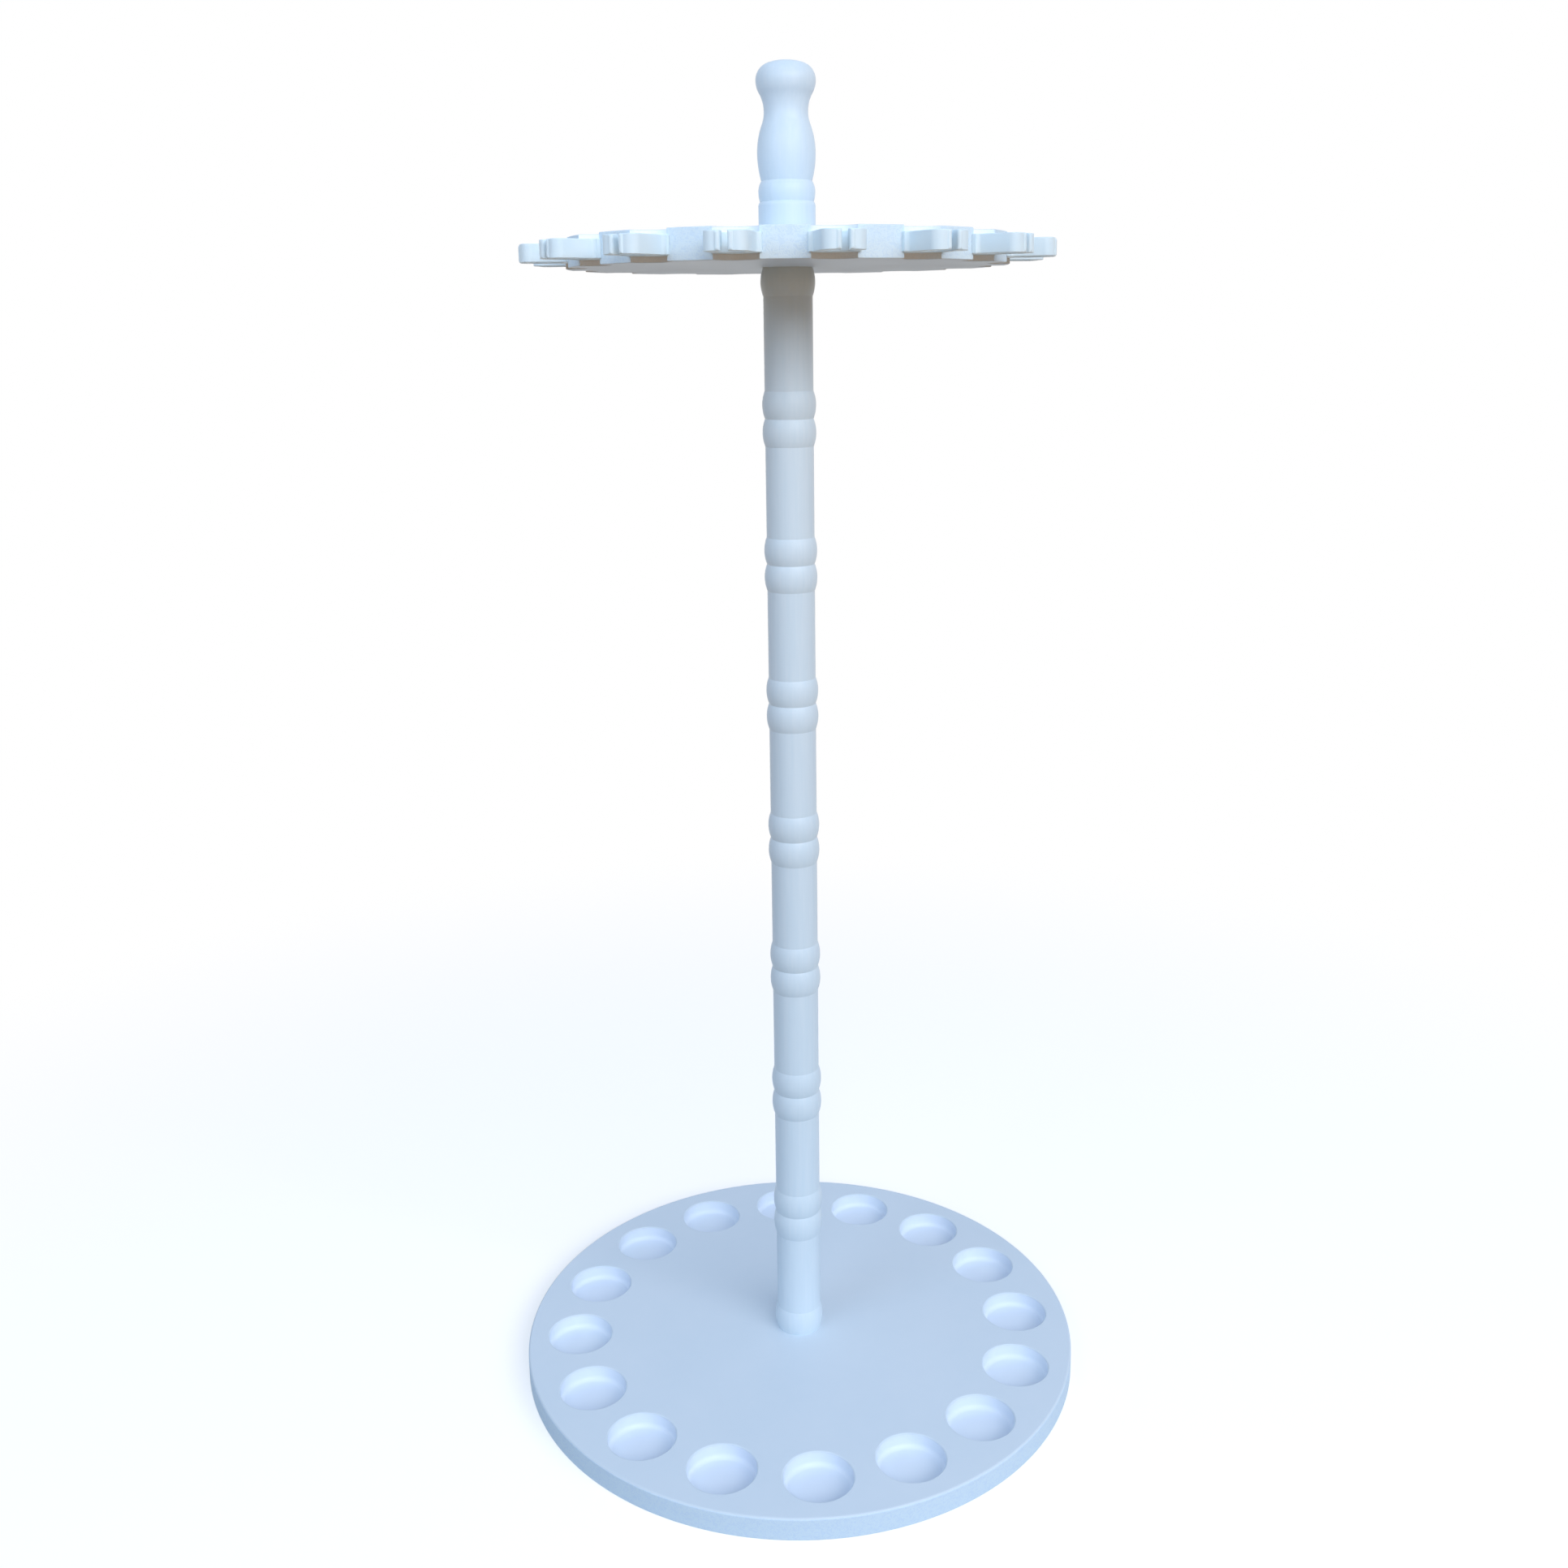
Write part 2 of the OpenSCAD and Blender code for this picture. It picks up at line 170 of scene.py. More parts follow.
# %% [markdown]
# ## Paint on the boards' faces
# The boards are painted white in a satin sheen. Sprayed paint on a smooth board leaves a faint
# orange peel, about 1.5 mm from bump to bump, and the sheen changes a little from place to place
# where the coat is thicker. Under a blue sky this white reads as a very pale blue. The peel is
# only bump, since it is a few hundredths of a millimetre deep. In the pockets the same recipe is
# used with paler colours, which is painted light: it makes the pockets look more brightly lit.
# A noise keeps mostly between 0.3 and 0.7, so colours and sheens are spread over that range.

# %% Satin paint on the boards' faces
NOISE_LOW = 0.3
NOISE_HIGH = 0.7
PAINT_IOR = 1.5
PAINT_GLOSS = 0.35
PEEL_WIDTH = 1.5
PEEL_HEIGHT = 0.04
CLOUD_WIDTH = 60
FACE_SHEEN = (0.42, 0.52)


def painted_board_face(name, thin_colour, thick_colour):
    """Satin paint with soft clouds in its colour and sheen, and an orange peel."""
    material, tree, place = start_material(name)
    clouds = add_node(
        tree, "ShaderNodeTexNoise",
        {"Vector": place, "Scale": 1 / CLOUD_WIDTH, "Detail": 4, "Roughness": 0.6},
    )
    peel = add_node(
        tree, "ShaderNodeTexNoise",
        {"Vector": place, "Scale": 1 / PEEL_WIDTH, "Detail": 2, "Roughness": 0.5},
    )
    colour = add_node(
        tree, "ShaderNodeValToRGB", {"Fac": clouds.outputs["Fac"]},
        [(NOISE_LOW, thin_colour), (NOISE_HIGH, thick_colour)],
    )
    sheen = add_node(
        tree, "ShaderNodeMapRange",
        {
            "Value": clouds.outputs["Fac"], "From Min": NOISE_LOW, "From Max": NOISE_HIGH,
            "To Min": FACE_SHEEN[0], "To Max": FACE_SHEEN[1],
        },
    )
    bump = add_node(
        tree, "ShaderNodeBump",
        {"Height": peel.outputs["Fac"], "Strength": 0.5, "Distance": PEEL_HEIGHT * MM},
    )
    shader = add_node(
        tree, "ShaderNodeBsdfPrincipled",
        {
            "Base Color": colour.outputs["Color"], "Roughness": sheen.outputs["Result"],
            "Normal": bump.outputs["Normal"], "IOR": PAINT_IOR, "Specular IOR Level": PAINT_GLOSS,
        },
    )
    add_node(tree, "ShaderNodeOutputMaterial", {"Surface": shader.outputs["BSDF"]})
    return material


board_face = painted_board_face("satin_paint_on_board", "#dce8f1", "#e1ebf3")
# The pockets' paler colours are painted light, which makes the pockets look more brightly lit.
pocket_painted_light = painted_board_face("painted_light_in_pockets", "#e5eefa", "#e9f2fb")
print("made", board_face.name, "and", pocket_painted_light.name)

# %% [markdown]
# ## Paint on the sawn rims
# The rim of a board is sawn, and the paint stands on its torn fibres in small winding ridges,
# about 3 mm apart. On the disc they are half a tenth of a millimetre high. The base's rim was
# filled and sanded, so that only a faint trace of them is left. Both scatter light and look duller
# than the faces. The disc's notches are bored, which cuts cleaner, and their paint is much whiter
# than the rim's: this is painted light, which lifts the shade on the notch walls. A noise that is
# bent by its own distortion gives such worms when only its middle values are raised. One recipe
# makes all three, with the heights and colours as its values.

# %% Rough paint on the sawn rims
RIDGE_WIDTH = 3.2
RIDGE_SHARE = 0.14
GRIT_WIDTH = 0.5
RIM_ROUGHNESS = 0.6


def painted_sawn_rim(name, low_colour, ridge_highlight_colour, ridge_height, grit_height):
    """Dull paint with winding ridges and grit, whose heights are in millimetres."""
    material, tree, place = start_material(name)
    worms = add_node(
        tree, "ShaderNodeTexNoise",
        {
            "Vector": place, "Scale": 1 / RIDGE_WIDTH, "Detail": 2, "Roughness": 0.55,
            "Distortion": 1.2,
        },
    )
    fold = add_node(
        tree, "ShaderNodeMath", {0: worms.outputs["Fac"], 1: 0.5}, operation="SUBTRACT"
    )
    fold = add_node(tree, "ShaderNodeMath", {0: fold.outputs["Value"]}, operation="ABSOLUTE")
    height = add_node(
        tree, "ShaderNodeMapRange",
        {
            "Value": fold.outputs["Value"], "From Min": 0.0, "From Max": RIDGE_SHARE,
            "To Min": 1.0, "To Max": 0.0,
        },
        interpolation_type="SMOOTHSTEP",
    )
    grit = add_node(
        tree, "ShaderNodeTexNoise",
        {"Vector": place, "Scale": 1 / GRIT_WIDTH, "Detail": 3, "Roughness": 0.6},
    )
    # The colour follows the ridges' height: the paler tops are painted highlight and the darker
    # hollows painted shade.
    colour = add_node(
        tree, "ShaderNodeValToRGB", {"Fac": height.outputs["Result"]},
        [(0.1, low_colour), (0.8, ridge_highlight_colour)],
    )
    coarse = add_node(
        tree, "ShaderNodeBump",
        {"Height": height.outputs["Result"], "Strength": 1, "Distance": ridge_height * MM},
    )
    bump = add_node(
        tree, "ShaderNodeBump",
        {
            "Height": grit.outputs["Fac"], "Strength": 1, "Distance": grit_height * MM,
            "Normal": coarse.outputs["Normal"],
        },
    )
    shader = add_node(
        tree, "ShaderNodeBsdfPrincipled",
        {
            "Base Color": colour.outputs["Color"], "Roughness": RIM_ROUGHNESS,
            "Normal": bump.outputs["Normal"], "IOR": PAINT_IOR, "Specular IOR Level": PAINT_GLOSS,
        },
    )
    add_node(tree, "ShaderNodeOutputMaterial", {"Surface": shader.outputs["BSDF"]})
    return material


disc_rim = painted_sawn_rim("rough_paint_on_disc_rim", "#dcf0fe", "#e3f5ff", 0.05, 0.02)
base_rim = painted_sawn_rim("sanded_paint_on_base_rim", "#deeefe", "#e4f3ff", 0.012, 0.01)
# The notches' whiter paint is painted light, which lifts the shade on their walls.
notch_painted_light = painted_sawn_rim("painted_light_in_notches", "#f4f8fb", "#f8fbfd", 0.02, 0.015)
print("made", disc_rim.name + ",", base_rim.name, "and", notch_painted_light.name)

# %% [markdown]
# ## Paint on turned wood
# The spindles and the handle are turned on a lathe, sanded and painted. The coat is smooth, but
# the lathe's fine rings still show through it as a soft sheen round the wood, and the wood's own
# grain runs along it. Real rings lie half a millimetre apart or less. They are drawn 0.9 mm
# apart, since finer ones would be lost in the render. Rings depend on height alone, so a noise
# that is squeezed along Z and stretched across gives them.

# %% Satin paint on turned wood
RING_WIDTH = 0.9
RING_RUN = 50
RING_HEIGHT = 0.03
GRAIN_LENGTH = 40
GRAIN_WIDTH = 2
GRAIN_HEIGHT = 0.04
TURNED_SHEEN = (0.34, 0.44)


def painted_turning(name, low_colour, high_colour):
    """Satin paint with the lathe's rings round the wood and its grain along it."""
    material, tree, place = start_material(name)
    along = add_node(
        tree, "ShaderNodeMapping",
        {"Vector": place, "Scale": (1 / GRAIN_WIDTH, 1 / GRAIN_WIDTH, 1 / GRAIN_LENGTH)},
    )
    grain = add_node(
        tree, "ShaderNodeTexNoise", {"Vector": along.outputs["Vector"], "Scale": 1, "Detail": 3}
    )
    around = add_node(
        tree, "ShaderNodeMapping",
        {"Vector": place, "Scale": (1 / RING_RUN, 1 / RING_RUN, 1 / RING_WIDTH)},
    )
    rings = add_node(
        tree, "ShaderNodeTexNoise", {"Vector": around.outputs["Vector"], "Scale": 1, "Detail": 2}
    )
    colour = add_node(
        tree, "ShaderNodeValToRGB", {"Fac": grain.outputs["Fac"]},
        [(NOISE_LOW, low_colour), (NOISE_HIGH, high_colour)],
    )
    sheen = add_node(
        tree, "ShaderNodeMapRange",
        {
            "Value": rings.outputs["Fac"], "From Min": NOISE_LOW, "From Max": NOISE_HIGH,
            "To Min": TURNED_SHEEN[0], "To Max": TURNED_SHEEN[1],
        },
    )
    lathe = add_node(
        tree, "ShaderNodeBump",
        {"Height": rings.outputs["Fac"], "Strength": 0.4, "Distance": RING_HEIGHT * MM},
    )
    bump = add_node(
        tree, "ShaderNodeBump",
        {
            "Height": grain.outputs["Fac"], "Strength": 0.4, "Distance": GRAIN_HEIGHT * MM,
            "Normal": lathe.outputs["Normal"],
        },
    )
    shader = add_node(
        tree, "ShaderNodeBsdfPrincipled",
        {
            "Base Color": colour.outputs["Color"], "Roughness": sheen.outputs["Result"],
            "Normal": bump.outputs["Normal"], "IOR": PAINT_IOR, "Specular IOR Level": PAINT_GLOSS,
        },
    )
    add_node(tree, "ShaderNodeOutputMaterial", {"Surface": shader.outputs["BSDF"]})
    return material


turned_paint = painted_turning("satin_paint_on_turned_wood", "#d9e9f3", "#deecf5")
print("made", turned_paint.name)

# %% [markdown]
# ## The clips' plastic
# The clips are moulded in one piece from a tough white plastic, probably nylon or ABS. The mould
# leaves an even matt skin, and a little light passes into the plastic, which softens its shadows.
# The skin's grain is drawn 0.35 mm wide, coarser than a real mould's, so that it shows at all. A
# wider noise changes colour and sheen a little, as the plastic does along its flow in the mould.

# %% Moulded white plastic
SKIN_WIDTH = 0.35
SKIN_HEIGHT = 0.02
FLOW_WIDTH = 14
PLASTIC_SHEEN = (0.36, 0.44)
PLASTIC_IOR = 1.53
LIGHT_REACH = 2


def moulded_plastic(name, low_colour, high_colour):
    """White plastic with a matt skin, which lets light in by LIGHT_REACH millimetres."""
    material, tree, place = start_material(name)
    skin = add_node(
        tree, "ShaderNodeTexNoise",
        {"Vector": place, "Scale": 1 / SKIN_WIDTH, "Detail": 2, "Roughness": 0.5},
    )
    flow = add_node(
        tree, "ShaderNodeTexNoise", {"Vector": place, "Scale": 1 / FLOW_WIDTH, "Detail": 3}
    )
    colour = add_node(
        tree, "ShaderNodeValToRGB", {"Fac": flow.outputs["Fac"]},
        [(NOISE_LOW, low_colour), (NOISE_HIGH, high_colour)],
    )
    sheen = add_node(
        tree, "ShaderNodeMapRange",
        {
            "Value": flow.outputs["Fac"], "From Min": NOISE_LOW, "From Max": NOISE_HIGH,
            "To Min": PLASTIC_SHEEN[0], "To Max": PLASTIC_SHEEN[1],
        },
    )
    bump = add_node(
        tree, "ShaderNodeBump",
        {"Height": skin.outputs["Fac"], "Strength": 0.5, "Distance": SKIN_HEIGHT * MM},
    )
    shader = add_node(
        tree, "ShaderNodeBsdfPrincipled",
        {
            "Base Color": colour.outputs["Color"], "Roughness": sheen.outputs["Result"],
            "Normal": bump.outputs["Normal"], "IOR": PLASTIC_IOR, "Subsurface Weight": 0.1,
            "Subsurface Radius": (LIGHT_REACH * MM,) * 3, "Subsurface Scale": 1,
        },
    )
    add_node(tree, "ShaderNodeOutputMaterial", {"Surface": shader.outputs["BSDF"]})
    return material


clip_plastic = moulded_plastic("moulded_white_plastic", "#e0f4ff", "#e6f7ff")
print("made", clip_plastic.name)

# %% [markdown]
# ## Metal
# Bolts, washers and screws are steel with bright zinc plating, which is bluish grey and shows
# fine cloudy crystals. The insert nuts are turned brass, with the tool's fine rings round them.
# Both are metals, so their colour is in the reflection, and a fine noise breaks up the sheen.

# %% Zinc-plated steel and turned brass
CRYSTAL_WIDTH = 0.8
TOOL_MARK_WIDTH = 0.3
TOOL_MARK_RUN = 10
MARK_HEIGHT = 0.02


def metal(name, dark, pale, sheen_low, sheen_high, mark_scale):
    """A metal whose colour and sheen follow fine marks of the given scale."""
    material, tree, place = start_material(name)
    stretch = add_node(tree, "ShaderNodeMapping", {"Vector": place, "Scale": mark_scale})
    marks = add_node(
        tree, "ShaderNodeTexNoise", {"Vector": stretch.outputs["Vector"], "Scale": 1, "Detail": 4}
    )
    colour = add_node(
        tree, "ShaderNodeValToRGB", {"Fac": marks.outputs["Fac"]},
        [(NOISE_LOW, dark), (NOISE_HIGH, pale)],
    )
    sheen = add_node(
        tree, "ShaderNodeMapRange",
        {
            "Value": marks.outputs["Fac"], "From Min": NOISE_LOW, "From Max": NOISE_HIGH,
            "To Min": sheen_low, "To Max": sheen_high,
        },
    )
    bump = add_node(
        tree, "ShaderNodeBump",
        {"Height": marks.outputs["Fac"], "Strength": 0.4, "Distance": MARK_HEIGHT * MM},
    )
    shader = add_node(
        tree, "ShaderNodeBsdfPrincipled",
        {
            "Base Color": colour.outputs["Color"], "Metallic": 1,
            "Roughness": sheen.outputs["Result"], "Normal": bump.outputs["Normal"],
        },
    )
    add_node(tree, "ShaderNodeOutputMaterial", {"Surface": shader.outputs["BSDF"]})
    return material


crystals = (1 / CRYSTAL_WIDTH,) * 3
tool_marks = (1 / TOOL_MARK_RUN, 1 / TOOL_MARK_RUN, 1 / TOOL_MARK_WIDTH)
zinc = metal("bright_zinc_on_steel", "#a9aeb4", "#c3c8cc", 0.24, 0.38, crystals)
brass = metal("turned_brass", "#b08d4a", "#cdb071", 0.22, 0.36, tool_marks)
print("made", zinc.name, "and", brass.name)

# %% [markdown]
# ## Helpers for the meshes
# Most of the rack is turned, so its pieces start as half an outline that is spun. Two small
# helpers draw such outlines, with straight lines and with arcs, and a third spins them. The arc
# is itself a spin, of one vertex round a centre. A last helper smooths the shading, makes the
# mesh a piece of the rack in metres, and lets it ride on its body in place of the CAD node.

# %% Drawing and finishing helpers
SHARP_ANGLE = math.radians(35)
MERGE = 0.002
UP = (0, 0, 1)
TO_THE_FRONT = (0, -1, 0)


def lines_to(mesh, start, *places):
    """Draws edges from start through the places and returns the last vertex."""
    for place in places:
        start = bmesh.ops.extrude_vert_indiv(mesh, verts=[start])["verts"][0]
        start.co = place
    return start


def arc_to(mesh, start, centre, degrees, steps, axis=TO_THE_FRONT):
    """Draws an arc, anticlockwise as seen from the tip of the axis, and returns its end."""
    made = bmesh.ops.spin(
        mesh, geom=[start], cent=centre, axis=axis, dvec=(0, 0, 0), angle=math.radians(degrees),
        steps=steps, use_merge=False, use_normal_flip=False, use_duplicate=False,
    )
    return made["geom_last"][0]


def turn_outline(mesh, segments):
    """Spins the half outline a full turn about the Z axis."""
    bmesh.ops.spin(
        mesh, geom=mesh.verts[:] + mesh.edges[:], cent=(0, 0, 0), axis=UP, dvec=(0, 0, 0),
        angle=math.tau, steps=segments, use_merge=True, use_normal_flip=False, use_duplicate=False,
    )
    bmesh.ops.remove_doubles(mesh, verts=mesh.verts[:], dist=MERGE)
    bmesh.ops.recalc_face_normals(mesh, faces=mesh.faces[:])


def finish_piece(mesh, name, materials, body, nodes, sharp=SHARP_ANGLE):
    """Makes a mesh in millimetres a piece that rides on body and stands for nodes."""
    for face in mesh.faces:
        face.smooth = True
    for edge in mesh.edges:
        edge.smooth = len(edge.link_faces) != 2 or edge.calc_face_angle() < sharp
    bmesh.ops.scale(mesh, vec=(MM, MM, MM), verts=mesh.verts[:])
    data = bpy.data.meshes.new(name)
    mesh.to_mesh(data)
    mesh.free()
    for material in materials:
        data.materials.append(material)
    piece = bpy.data.objects.new(name, data)
    bpy.context.scene.collection.objects.link(piece)
    flats = piece.modifiers.new("even_flats", "WEIGHTED_NORMAL")
    flats.keep_sharp = True
    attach(piece, body)
    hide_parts(*nodes)
    print(name, "has", len(data.polygons), "faces")


# %% [markdown]
# ## The column
# Eight equal spindles stand one on another. Each has a low barrel-shaped bead at both ends, so
# two beads always lie together with a V groove between them. A bead is two arcs that are upright
# where they meet at its widest place. The sizes come first, with the arc that both the beads and
# the handle are drawn from.

# %% Beads
SPINDLE_COUNT = 8
BEAD_HEIGHT = 17
BEAD_PROUD = 1.6
GROOVE_DEPTH = 1.6
BEAD_STEPS = 7

spindle_low, spindle_high = box_mm("spindle_1")
SPINDLE_LENGTH = spindle_high.z - spindle_low.z
BEAD_RADIUS = (spindle_high.x - spindle_low.x) / 2
SHAFT_RADIUS = BEAD_RADIUS - BEAD_PROUD


def upright_arc(inwards, height):
    """Radius and turn of an arc that starts upright and moves inwards over the height."""
    radius = (inwards ** 2 + height ** 2) / (2 * inwards)
    return radius, math.degrees(math.asin(height / radius))


def bead(mesh, start, widest, first_in, last_in, height):
    """Draws a bead upwards from start, drawn in by first_in below and last_in above."""
    half = height / 2
    z = start.co.z + half
    low_radius, low_turn = upright_arc(first_in, half)
    high_radius, high_turn = upright_arc(last_in, half)
    v = arc_to(mesh, start, (widest - low_radius, 0, z), low_turn, BEAD_STEPS)
    return arc_to(mesh, v, (widest - high_radius, 0, z), high_turn, BEAD_STEPS)


print("beads", round(2 * BEAD_RADIUS, 1), "mm and shafts", round(2 * SHAFT_RADIUS, 1), "mm across")

# %% [markdown]
# One half outline of a spindle is drawn from the insert's hole at the foot, round the outside, to
# the bolt's hole at the top, and is spun. A bead meets the straight shaft in a crisp line, as the
# turning tool leaves it. That line turns by only 20 degrees, so the spindles keep their edges
# sharp from a smaller angle on.

# %% Eight spindles
INSERT_HOLE = 6.05
INSERT_DEPTH = 15
BOLT_HOLE = 4.05
BOLT_REACH = 18
BOLT_WOOD = 25.05
TURNED_SEGMENTS = 96
CRISP_ANGLE = math.radians(15)


def insert_hole(mesh, foot):
    """Draws the hole of an insert nut and of the bolt's end in it, down to the foot."""
    v = mesh.verts.new((0, 0, foot + BOLT_REACH))
    return lines_to(
        mesh, v, (BOLT_HOLE, 0, foot + BOLT_REACH), (BOLT_HOLE, 0, foot + INSERT_DEPTH),
        (INSERT_HOLE, 0, foot + INSERT_DEPTH), (INSERT_HOLE, 0, foot),
    )


def spindle_mesh(foot):
    """One spindle that stands at height foot."""
    mesh = bmesh.new()
    top = foot + SPINDLE_LENGTH
    hole_end = top - BOLT_WOOD
    v = insert_hole(mesh, foot)
    v = lines_to(mesh, v, (BEAD_RADIUS - GROOVE_DEPTH, 0, foot))
    v = bead(mesh, v, BEAD_RADIUS, GROOVE_DEPTH, BEAD_PROUD, BEAD_HEIGHT)
    v = lines_to(mesh, v, (SHAFT_RADIUS, 0, top - BEAD_HEIGHT))
    v = bead(mesh, v, BEAD_RADIUS, BEAD_PROUD, GROOVE_DEPTH, BEAD_HEIGHT)
    lines_to(mesh, v, (BOLT_HOLE, 0, top), (BOLT_HOLE, 0, hole_end), (0, 0, hole_end))
    turn_outline(mesh, TURNED_SEGMENTS)
    return mesh


for number in range(1, SPINDLE_COUNT + 1):
    node = f"spindle_{number}"
    finish_piece(
        spindle_mesh(box_mm(node)[0].z), f"turned_{node}", [turned_paint],
        "stand", [node], CRISP_ANGLE,
    )

# %% [markdown]
# ## The handle
# The handle is one turning too: a straight foot, a collar between two grooves, a grip that swells
# and draws in to a neck, and a round knob. Each stretch is an arc. Where the grip runs into the
# neck and the neck into the knob, two arcs meet on one tangent, one bulging and one hollow. The
# crown is a wide arc that meets the knob's own round on a tangent as well.

# %% Handle
FOOT_RADIUS = 17.2
FOOT_HEIGHT = 20.5
SHOULDER_HEIGHT = 2.5
LOW_GROOVE = 1.0
COLLAR_STEP = 0.1
COLLAR_HEIGHT = 12
HIGH_GROOVE = 1.8
GRIP_RADIUS = 17.5
GRIP_RISE = 16
GRIP_BULGE = 0.69
NECK_RADIUS = 13.2
NECK_RISE = 23.5
NECK_HOLLOW = 0.6
KNOB_RADIUS = 17.9
KNOB_RISE = 17.5
KNOB_ROUND = 10
CROWN_HEIGHT = 11.3
CROWN_FLAT = 1
CURVE_STEPS = 14


def sway_to(mesh, start, radius, height, share):
    """Rises to the radius by two arcs, upright at both ends; share is the first one's part."""
    away = start.co.x - radius
    r, turn = upright_arc(abs(away), height)
    r, turn = math.copysign(r, away), math.copysign(turn, away)
    z = start.co.z
    v = arc_to(mesh, start, (start.co.x - r * share, 0, z), turn, CURVE_STEPS)
    return arc_to(mesh, v, (radius + r * (1 - share), 0, z + height), -turn, CURVE_STEPS)


def handle_mesh(foot):
    """The handle, standing at height foot."""
    mesh = bmesh.new()
    v = insert_hole(mesh, foot)
    shoulder_z = foot + FOOT_HEIGHT - SHOULDER_HEIGHT
    v = lines_to(mesh, v, (FOOT_RADIUS, 0, foot), (FOOT_RADIUS, 0, shoulder_z))
    r, turn = upright_arc(LOW_GROOVE, SHOULDER_HEIGHT)
    v = arc_to(mesh, v, (FOOT_RADIUS - r, 0, v.co.z), turn, BEAD_STEPS)
    collar = FOOT_RADIUS - COLLAR_STEP
    v = bead(mesh, v, collar, LOW_GROOVE - COLLAR_STEP, HIGH_GROOVE, COLLAR_HEIGHT)
    r, turn = upright_arc(GRIP_RADIUS - v.co.x, GRIP_RISE)
    v = arc_to(mesh, v, (GRIP_RADIUS - r, 0, v.co.z + GRIP_RISE), turn, CURVE_STEPS)
    v = sway_to(mesh, v, NECK_RADIUS, NECK_RISE, GRIP_BULGE)
    v = sway_to(mesh, v, KNOB_RADIUS, KNOB_RISE, NECK_HOLLOW)
    widest_z = v.co.z
    round_x = KNOB_RADIUS - KNOB_ROUND
    crown = round_x ** 2 + CROWN_HEIGHT ** 2 - KNOB_ROUND ** 2
    crown = crown / (CROWN_HEIGHT - KNOB_ROUND) / 2
    lean = math.degrees(math.atan2(crown - CROWN_HEIGHT, round_x))
    rest = math.degrees(math.acos(CROWN_FLAT / crown)) - lean
    v = arc_to(mesh, v, (round_x, 0, widest_z), lean, CURVE_STEPS)
    v = arc_to(mesh, v, (0, 0, widest_z + CROWN_HEIGHT - crown), rest, CURVE_STEPS)
    lines_to(mesh, v, (0, 0, v.co.z))
    turn_outline(mesh, TURNED_SEGMENTS)
    return mesh


handle_low, handle_high = box_mm("handle")
finish_piece(
    handle_mesh(handle_low.z), "turned_handle", [turned_paint], "stand",
    ["handle"],
)

# %% [markdown]
# ## The base plate
# The base is a round board with sixteen pockets that a round-nosed cutter has sunk into it, so
# the wall runs into the floor in a hollow. The board's outside and one pocket are drawn as half
# outlines and spun, each about the Z axis. The top edge and the pocket's rim are softly rounded,
# and the paint there catches a thin bright line.

# %% The board's outside and one pocket
BASE_EDGE = 1.5
EASED_EDGE = 0.4
POCKET_LAND = 13.5
POCKET_RADIUS = 22
POCKET_DEPTH = 10
POCKET_HOLLOW = 3
POCKET_RIM = 1
RECESS_RADIUS = 11
RECESS_DEPTH = 7
BASE_BOLT_HOLE = 4.25
BASE_SEGMENTS = 288
POCKET_SEGMENTS = 72
EDGE_STEPS = 5
POCKET_STEPS = 8

BASE_RADIUS = min(-base_low.x, base_high.x, -base_low.y, base_high.y)
BASE_TOP = base_high.z
POCKET_RING = BASE_RADIUS - POCKET_LAND - POCKET_RADIUS


def add_base_outside(mesh):
    """The bolt hole, its recess, the underside and the rim, up to the top's outer edge."""
    v = mesh.verts.new((BASE_BOLT_HOLE, 0, BASE_TOP))
    v = lines_to(
        mesh, v, (BASE_BOLT_HOLE, 0, RECESS_DEPTH), (RECESS_RADIUS, 0, RECESS_DEPTH),
        (RECESS_RADIUS, 0, 0), (BASE_RADIUS - EASED_EDGE, 0, 0),
    )
    v = arc_to(mesh, v, (BASE_RADIUS - EASED_EDGE, 0, EASED_EDGE), 90, EDGE_STEPS)
    v = lines_to(mesh, v, (BASE_RADIUS, 0, BASE_TOP - BASE_EDGE))
    arc_to(mesh, v, (BASE_RADIUS - BASE_EDGE, 0, BASE_TOP - BASE_EDGE), 90, EDGE_STEPS)
    turn_outline(mesh, BASE_SEGMENTS)


def pocket_mesh():
    """One pocket about the Z axis, with its rim at the base's top."""
    mesh = bmesh.new()
    floor_z = BASE_TOP - POCKET_DEPTH
    flat = POCKET_RADIUS - POCKET_HOLLOW
    v = mesh.verts.new((0, 0, floor_z))
    v = lines_to(mesh, v, (flat, 0, floor_z))
    v = arc_to(mesh, v, (flat, 0, floor_z + POCKET_HOLLOW), 90, POCKET_STEPS)
    v = lines_to(mesh, v, (POCKET_RADIUS, 0, BASE_TOP - POCKET_RIM))
    arc_to(mesh, v, (POCKET_RADIUS + POCKET_RIM, 0, BASE_TOP - POCKET_RIM), -90, EDGE_STEPS)
    turn_outline(mesh, POCKET_SEGMENTS)
    return mesh


print("base", round(BASE_RADIUS, 2), "mm in radius, pockets", round(POCKET_RING, 2), "mm out")

# %% [markdown]
# The pocket is copied sixteen times round the board, and the flat top between all those rims is
# filled last, which leaves no seam. Then the faces get their paints: the rough one on the sawn
# rim, and in the pockets the paler one, which is painted light.

# %% Base plate
PLACE_COUNT = 16
POCKET_TURN = 4


def ring_place(index, first_turn, radius):
    """Place number index in a ring whose first one is first_turn degrees from the front."""
    angle = math.radians(first_turn + index * 360 / PLACE_COUNT - 90)
    return Vector((radius * math.cos(angle), radius * math.sin(angle), 0))


